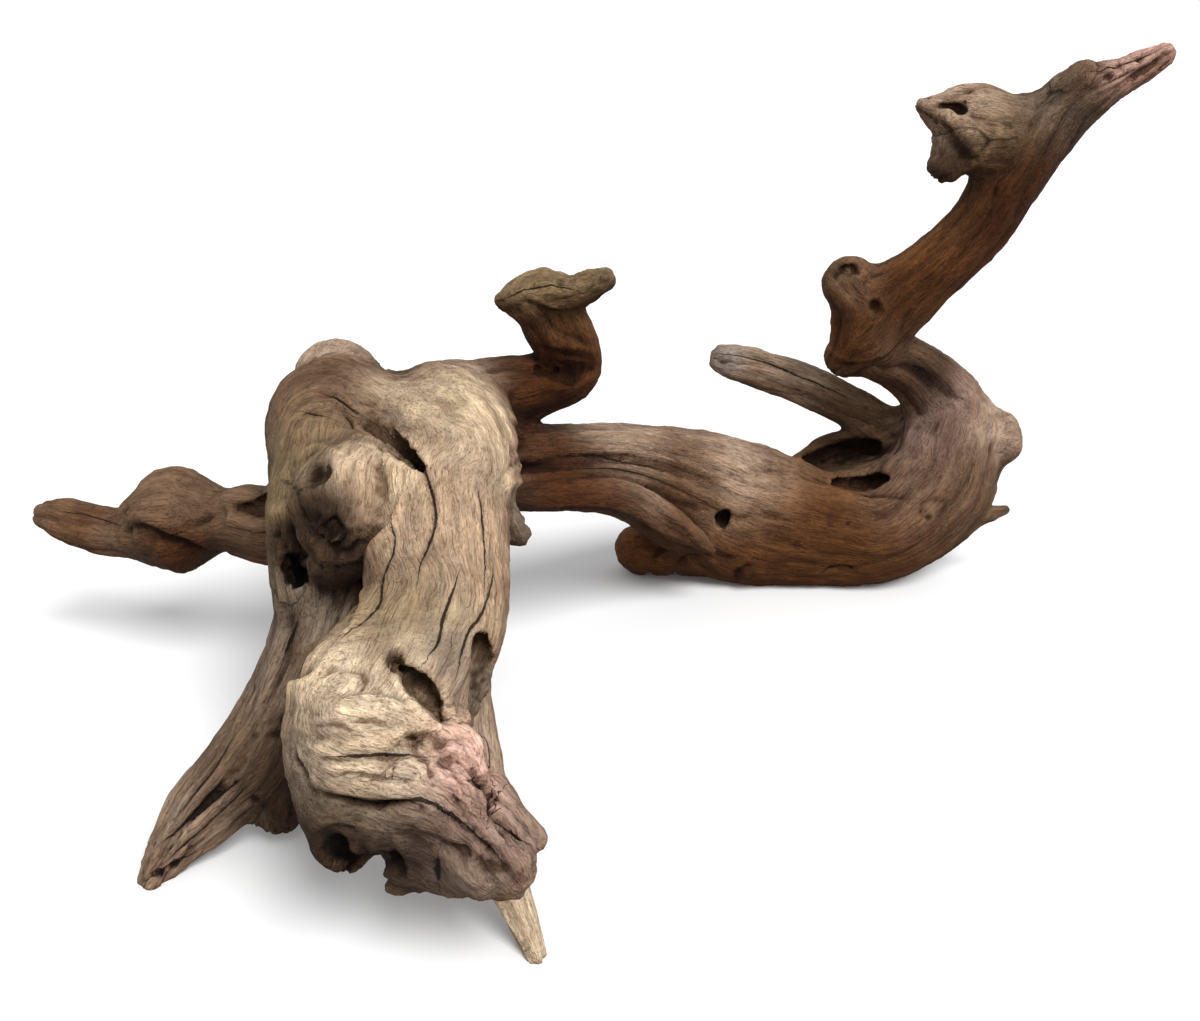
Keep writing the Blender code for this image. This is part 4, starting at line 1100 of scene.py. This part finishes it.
class Nodes:
    """Short ways to add shader nodes to a tree and join them."""

    def __init__(self, tree):
        self.tree = tree

    def put(self, socket, value):
        if isinstance(value, bpy.types.NodeSocket):
            self.tree.links.new(value, socket)
        else:
            socket.default_value = value

    def add(self, kind, settings=(), **inputs):
        node = self.tree.nodes.new("ShaderNode" + kind)
        for key, value in dict(settings).items():
            setattr(node, key, value)
        for key, value in inputs.items():
            self.put(node.inputs[key], value)
        return node

    def fill(self, node, *values):
        """The first output of a node, once its first sockets hold the values."""
        for socket, value in zip(node.inputs, values):
            self.put(socket, value)
        return node.outputs[0]

    def math(self, operation, *values, clamp=False):
        return self.fill(self.add("Math", {"operation": operation, "use_clamp": clamp}), *values)

    def vector(self, operation, *values):
        return self.fill(self.add("VectorMath", {"operation": operation}), *values)

    def total(self, parts):
        result = parts[0]
        for part in parts[1:]:
            result = self.math("ADD", result, part)
        return result

    def attribute(self, name, output="Fac"):
        settings = {"attribute_name": name, "attribute_type": "GEOMETRY"}
        return self.add("Attribute", settings).outputs[output]

    def noise(self, where, scale, detail, roughness):
        node = self.add("TexNoise", Vector=where, Scale=scale, Detail=detail, Roughness=roughness)
        return node.outputs["Fac"]

    def mix(self, share, one, two, blend="MIX"):
        """A mix of two colours, which are the node's seventh and eighth socket."""
        node = self.add("Mix", {"data_type": "RGBA", "blend_type": blend})
        for socket, value in ((0, share), (6, one), (7, two)):
            self.put(node.inputs[socket], value)
        return node.outputs[2]

    def steps(self, value, low, high):
        """0 at the low value and 1 at the high one, with soft ends."""
        return self.fill(self.add("MapRange", {"interpolation_type": "SMOOTHSTEP"}), value, low, high)

    def tone(self, colour, share, strength, by):
        """The colour, multiplied by another in a share of its full strength."""
        other = self.mix(1.0, colour, (*by, 1), "MULTIPLY")
        return self.mix(self.math("MULTIPLY", share, strength), colour, other)


# Noises that run along the grain: pace along and across it, detail, roughness
FIBRES = {
    "band": (0.010, 0.09, 3.0, 0.6), "strand": (0.020, 0.34, 2.0, 0.6),
    "fibre": (0.070, 0.95, 3.0, 0.7), "check": (0.026, 0.95, 1.0, 0.5),
}
# Noises that don't: scale, detail, roughness
CLOUDS = {"patch": (28.0, 4.0, 0.6), "fleck": (330.0, 3.0, 0.65), "moss": (17.0, 3.0, 0.55)}
# What bends the fibres aside, in millimetres
BEND_SCALE, BEND_DETAIL = 34.0, 2.0
BEND_WIDTH, BEND_BACK = (0.0, 6.0, 6.0), (0.0, -3.0, -3.0)
# Tones laid over the tint: what they follow, where they start and are full, strength, colour
TONES = (
    ("band", 0.52, 0.32, 0.8, (0.66, 0.60, 0.56)), ("band", 0.52, 0.70, 0.8, (1.30, 1.27, 1.20)),
    ("patch", 0.55, 0.32, 0.8, (0.66, 0.60, 0.56)), ("patch", 0.55, 0.75, 0.8, (1.26, 1.26, 1.26)),
    ("moss", 0.56, 0.68, 0.3, (0.88, 0.95, 0.80)),
    ("strand", 0.50, 0.30, 0.55, (0.62, 0.57, 0.52)), ("strand", 0.54, 0.70, 0.6, (1.24, 1.23, 1.20)),
    ("fibre", 0.50, 0.36, 0.9, (0.55, 0.49, 0.45)), ("fibre", 0.54, 0.68, 0.8, (1.34, 1.32, 1.28)),
    ("fleck", 0.42, 0.30, 0.6, (0.52, 0.47, 0.44)), ("fleck", 0.60, 0.72, 0.5, (1.35, 1.33, 1.30)),
    # Painted shade in grooves and painted highlight on ridges
    ("crest", -0.15, -1.5, 0.85, (0.32, 0.25, 0.20)), ("crest", 0.15, 1.4, 0.7, (1.45, 1.42, 1.38)),
    # Painted shade in caves and cracks, by how hidden the wood is
    ("hollow_painted_shade", 0.20, 0.55, 0.6, (0.62, 0.53, 0.46)), ("hollow_painted_shade", 0.42, 0.80, 0.92, (0.18, 0.13, 0.10)),
)
ROT_STRENGTH, ROT_TONE = 0.8, (0.42, 0.38, 0.36)
CHECK_STEPS, CHECK_PATCHES, CHECK_STRENGTH = (0.67, 0.78), (0.46, 0.58), 0.45
SPLIT_JITTER, SPLIT_EDGE = 1.2, 0.45
# Painted shade inside the splits and checks: how dark, and its colour
SPLIT_SHADE_STRENGTH, SPLIT_SHADE_COLOUR = 0.9, (0.014, 0.009, 0.006, 1)
ROUGHNESS, SPECULAR = 0.88, 0.16
# Bump: height of each noise, of rot and of splits, and the distance in metres that 1 stands for
HEIGHTS = {"fibre": 1.1, "fleck": 0.7, "strand": 1.2, "band": 0.6}
ROT_HEIGHT, DARK_HEIGHT = 2.5, -0.7
BUMP = 0.0024


def surface_looks(nodes):
    """What the colour and the bump follow: noises along the grain, clouds and the attributes."""
    share = nodes.add("SeparateXYZ", Vector=nodes.attribute("grain_share", "Vector"))
    place = nodes.add("TexCoord").outputs["Object"]
    cloud = nodes.add("TexNoise", Vector=place, Scale=BEND_SCALE, Detail=BEND_DETAIL)
    bend = nodes.vector("MULTIPLY_ADD", cloud.outputs["Color"], BEND_WIDTH, BEND_BACK)
    layers = {name: [] for name in FIBRES}
    for which in range(len(GRAINS)):
        where = nodes.vector("ADD", nodes.attribute("grain_%d" % which, "Vector"), bend)
        for name, (along, across, detail, roughness) in FIBRES.items():
            paced = nodes.vector("MULTIPLY", where, (along, across, across))
            part = nodes.noise(paced, 1.0, detail, roughness)
            layers[name].append(nodes.math("MULTIPLY", part, share.outputs[which]))
    looks = {name: nodes.total(parts) for name, parts in layers.items()}
    for name, settings in CLOUDS.items():
        looks[name] = nodes.noise(place, *settings)
    for name in ("hollow_painted_shade", "crest", "rot", "crack_side", "crack_open"):
        looks[name] = nodes.attribute(name)
    return looks


def painted_crack_shade(nodes, looks):
    """1 in the open splits, and less in the fine checks of the dry patches, which the material darkens
    as painted shade.
    """
    dry = nodes.steps(looks["patch"], *CHECK_PATCHES)
    sliver = nodes.math("MULTIPLY", nodes.steps(looks["check"], *CHECK_STEPS), dry)
    jitter = nodes.math("MULTIPLY", nodes.math("SUBTRACT", looks["fleck"], 0.5), SPLIT_JITTER)
    away = nodes.math("ABSOLUTE", nodes.math("ADD", looks["crack_side"], jitter))
    half = nodes.math("MAXIMUM", looks["crack_open"], SPLIT_ENDS)
    line = nodes.math("SUBTRACT", 1.0, nodes.math("DIVIDE", away, half), clamp=True)
    line = nodes.steps(line, 0.0, SPLIT_EDGE)
    return nodes.math("MAXIMUM", nodes.math("MULTIPLY", sliver, CHECK_STRENGTH), line)


def wood_material():
    material = bpy.data.materials.new("weathered_wood")
    material.use_nodes = True
    nodes = Nodes(material.node_tree)
    looks = surface_looks(nodes)
    colour = nodes.attribute("tint_with_painted_shade", "Color")
    for name, low, high, strength, by in TONES:
        colour = nodes.tone(colour, nodes.steps(looks[name], low, high), strength, by)
    colour = nodes.tone(colour, looks["rot"], ROT_STRENGTH, ROT_TONE)
    dark = painted_crack_shade(nodes, looks)
    # Painted shade: near-black inside the open splits and fine checks
    colour = nodes.mix(nodes.math("MULTIPLY", dark, SPLIT_SHADE_STRENGTH), colour, SPLIT_SHADE_COLOUR)
    shader = material.node_tree.nodes["Principled BSDF"].inputs
    nodes.put(shader["Base Color"], colour)
    shader["Roughness"].default_value = ROUGHNESS
    shader["Specular IOR Level"].default_value = SPECULAR
    parts = [nodes.math("MULTIPLY", looks[name], height) for name, height in HEIGHTS.items()]
    rotten = nodes.math("MULTIPLY", looks["patch"], looks["rot"])
    parts.append(nodes.math("MULTIPLY", rotten, ROT_HEIGHT))
    parts.append(nodes.math("MULTIPLY", dark, DARK_HEIGHT))
    bump = nodes.add("Bump", Height=nodes.total(parts), Distance=BUMP, Strength=1.0)
    nodes.put(shader["Normal"], bump.outputs[0])
    return material


def build_wood():
    limbs = {}
    for family in (TRUNK, LEGS, ARMS, BRANCHES):
        limbs.update(grow(family, CROTCH))
    solids = list(limbs.values())
    cuts = list(grow(HOLLOWS, LIP).values())
    limbs.update(grow(GRAIN_ROUTES, CROTCH))
    low = np.min([limb.low for limb in solids], axis=0)
    high = np.max([limb.high for limb in solids], axis=0)
    drawn, faces = draw_surface(lambda points: wood_field(points, solids, cuts), low, high)
    drawn, faces = largest_body(drawn, faces)
    photo = Photo(drawn, faces)
    carved, normals = carve(drawn, faces, limbs, photo)
    carved[:, 2] = carved[:, 2].clip(0)
    mesh = reduced(carved, faces, "wood")
    paint_attributes(mesh, carved, drawn, normals, limbs, photo)
    mesh.shade_smooth()
    mesh.update()
    mesh.materials.append(wood_material())
    return placed("driftwood_bark", mesh)


def paint_attributes(mesh, carved, drawn, normals, limbs, photo):
    """Gives the mesh what its material reads, looked up where the wood lay before it was carved,
    and moves it from the plan to the frame."""
    vertices, faces = arrays(mesh)
    lookup = KDTree(len(carved))
    for number, spot in enumerate(carved.tolist()):
        lookup.insert(spot, number)
    lookup.balance()
    source = [lookup.find(spot)[1] for spot in vertices.tolist()]
    before, facing = drawn[source], normals[source]
    grain = Grain(before, limbs)
    for which, spots in enumerate(grain.spots):
        add_attribute(mesh, "grain_%d" % which, spots)
    own_normals, pairs = normals_of(vertices, faces), edge_pairs(faces)
    beside_it, opening, _ = split_field(before, facing, photo, grain, limbs)
    add_attribute(mesh, "grain_share", grain.share.T)
    add_attribute(mesh, "tint_with_painted_shade", tints_with_painted_shade(before, facing, photo))
    add_attribute(mesh, "crest", crests(vertices, own_normals, pairs))
    add_attribute(mesh, "crack_side", beside_it)
    add_attribute(mesh, "crack_open", opening)
    add_attribute(mesh, "rot", ragged_wood(before, photo)[1])
    add_attribute(mesh, "hollow_painted_shade", hollow_painted_shade(vertices, faces, own_normals, pairs))
    mesh.vertices.foreach_set("co", ((vertices - CENTRE) * MM).astype(np.float32).ravel())


# Half the floor's edge in metres, its grey and its roughness
FLOOR_REACH, FLOOR_GREY, FLOOR_ROUGHNESS = 40.0, 0.9, 0.9
# The lamp: strength, width and the way that it shines
LAMP_STRENGTH, LAMP_WIDTH, LAMP_WAY = 2.9, math.radians(28), (-0.42, 0.62, -1.0)
# Greys of the studio from below to above: a dim floor side, a bright horizon, a softer ceiling
STUDIO = ((0.28, 0.10), (0.46, 1.0), (0.62, 1.0), (0.85, 0.5))


def lay_floor():
    mesh = bpy.data.meshes.new("floor")
    corners = [(x * FLOOR_REACH, y * FLOOR_REACH, 0) for x, y in ((-1, -1), (1, -1), (1, 1), (-1, 1))]
    mesh.from_pydata(corners, [], [(0, 1, 2, 3)])
    floor = placed("floor", mesh)
    paint = bpy.data.materials.new("floor_paint")
    paint.use_nodes = True
    shader = paint.node_tree.nodes["Principled BSDF"]
    shader.inputs["Base Color"].default_value = (FLOOR_GREY, FLOOR_GREY, FLOOR_GREY, 1)
    shader.inputs["Roughness"].default_value = FLOOR_ROUGHNESS
    mesh.materials.append(paint)
    floor.visible_diffuse = False


def light_studio():
    sun = bpy.data.lights.new("soft_lamp", "SUN")
    sun.energy = LAMP_STRENGTH
    sun.angle = LAMP_WIDTH
    placed("soft_lamp", sun).rotation_euler = Vector(LAMP_WAY).to_track_quat("-Z", "Y").to_euler()
    world = bpy.data.worlds.new("studio")
    world.use_nodes = True
    nodes = Nodes(world.node_tree)
    way = nodes.add("SeparateXYZ", Vector=nodes.add("TexCoord").outputs["Generated"])
    ramp = nodes.add("ValToRGB", Fac=nodes.math("MULTIPLY_ADD", way.outputs["Z"], 0.5, 0.5))
    stops = ramp.color_ramp.elements
    for place, grey in STUDIO:
        stops.new(place).color = (grey, grey, grey, 1)
    for end in (0, -1):
        stops[end].color = (*[STUDIO[end][1]] * 3, 1)
    nodes.put(world.node_tree.nodes["Background"].inputs["Color"], ramp.outputs[0])
    bpy.context.scene.world = world
    bpy.context.scene.view_settings.view_transform = "Standard"


def place_camera():
    lens = bpy.data.cameras.new("camera")
    lens.sensor_width = SENSOR
    lens.lens = FOCAL_PIXELS / PHOTO_WIDE * SENSOR
    camera = placed("camera", lens)
    camera.location = Vector((EYE - CENTRE) * MM)
    camera.rotation_euler = (math.pi / 2 - LOOK_DOWN, 0, 0)
    bpy.context.scene.camera = camera


def main():
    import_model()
    wood = build_wood()
    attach(wood, "root")
    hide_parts("driftwood")
    lay_floor()
    light_studio()
    place_camera()


main()
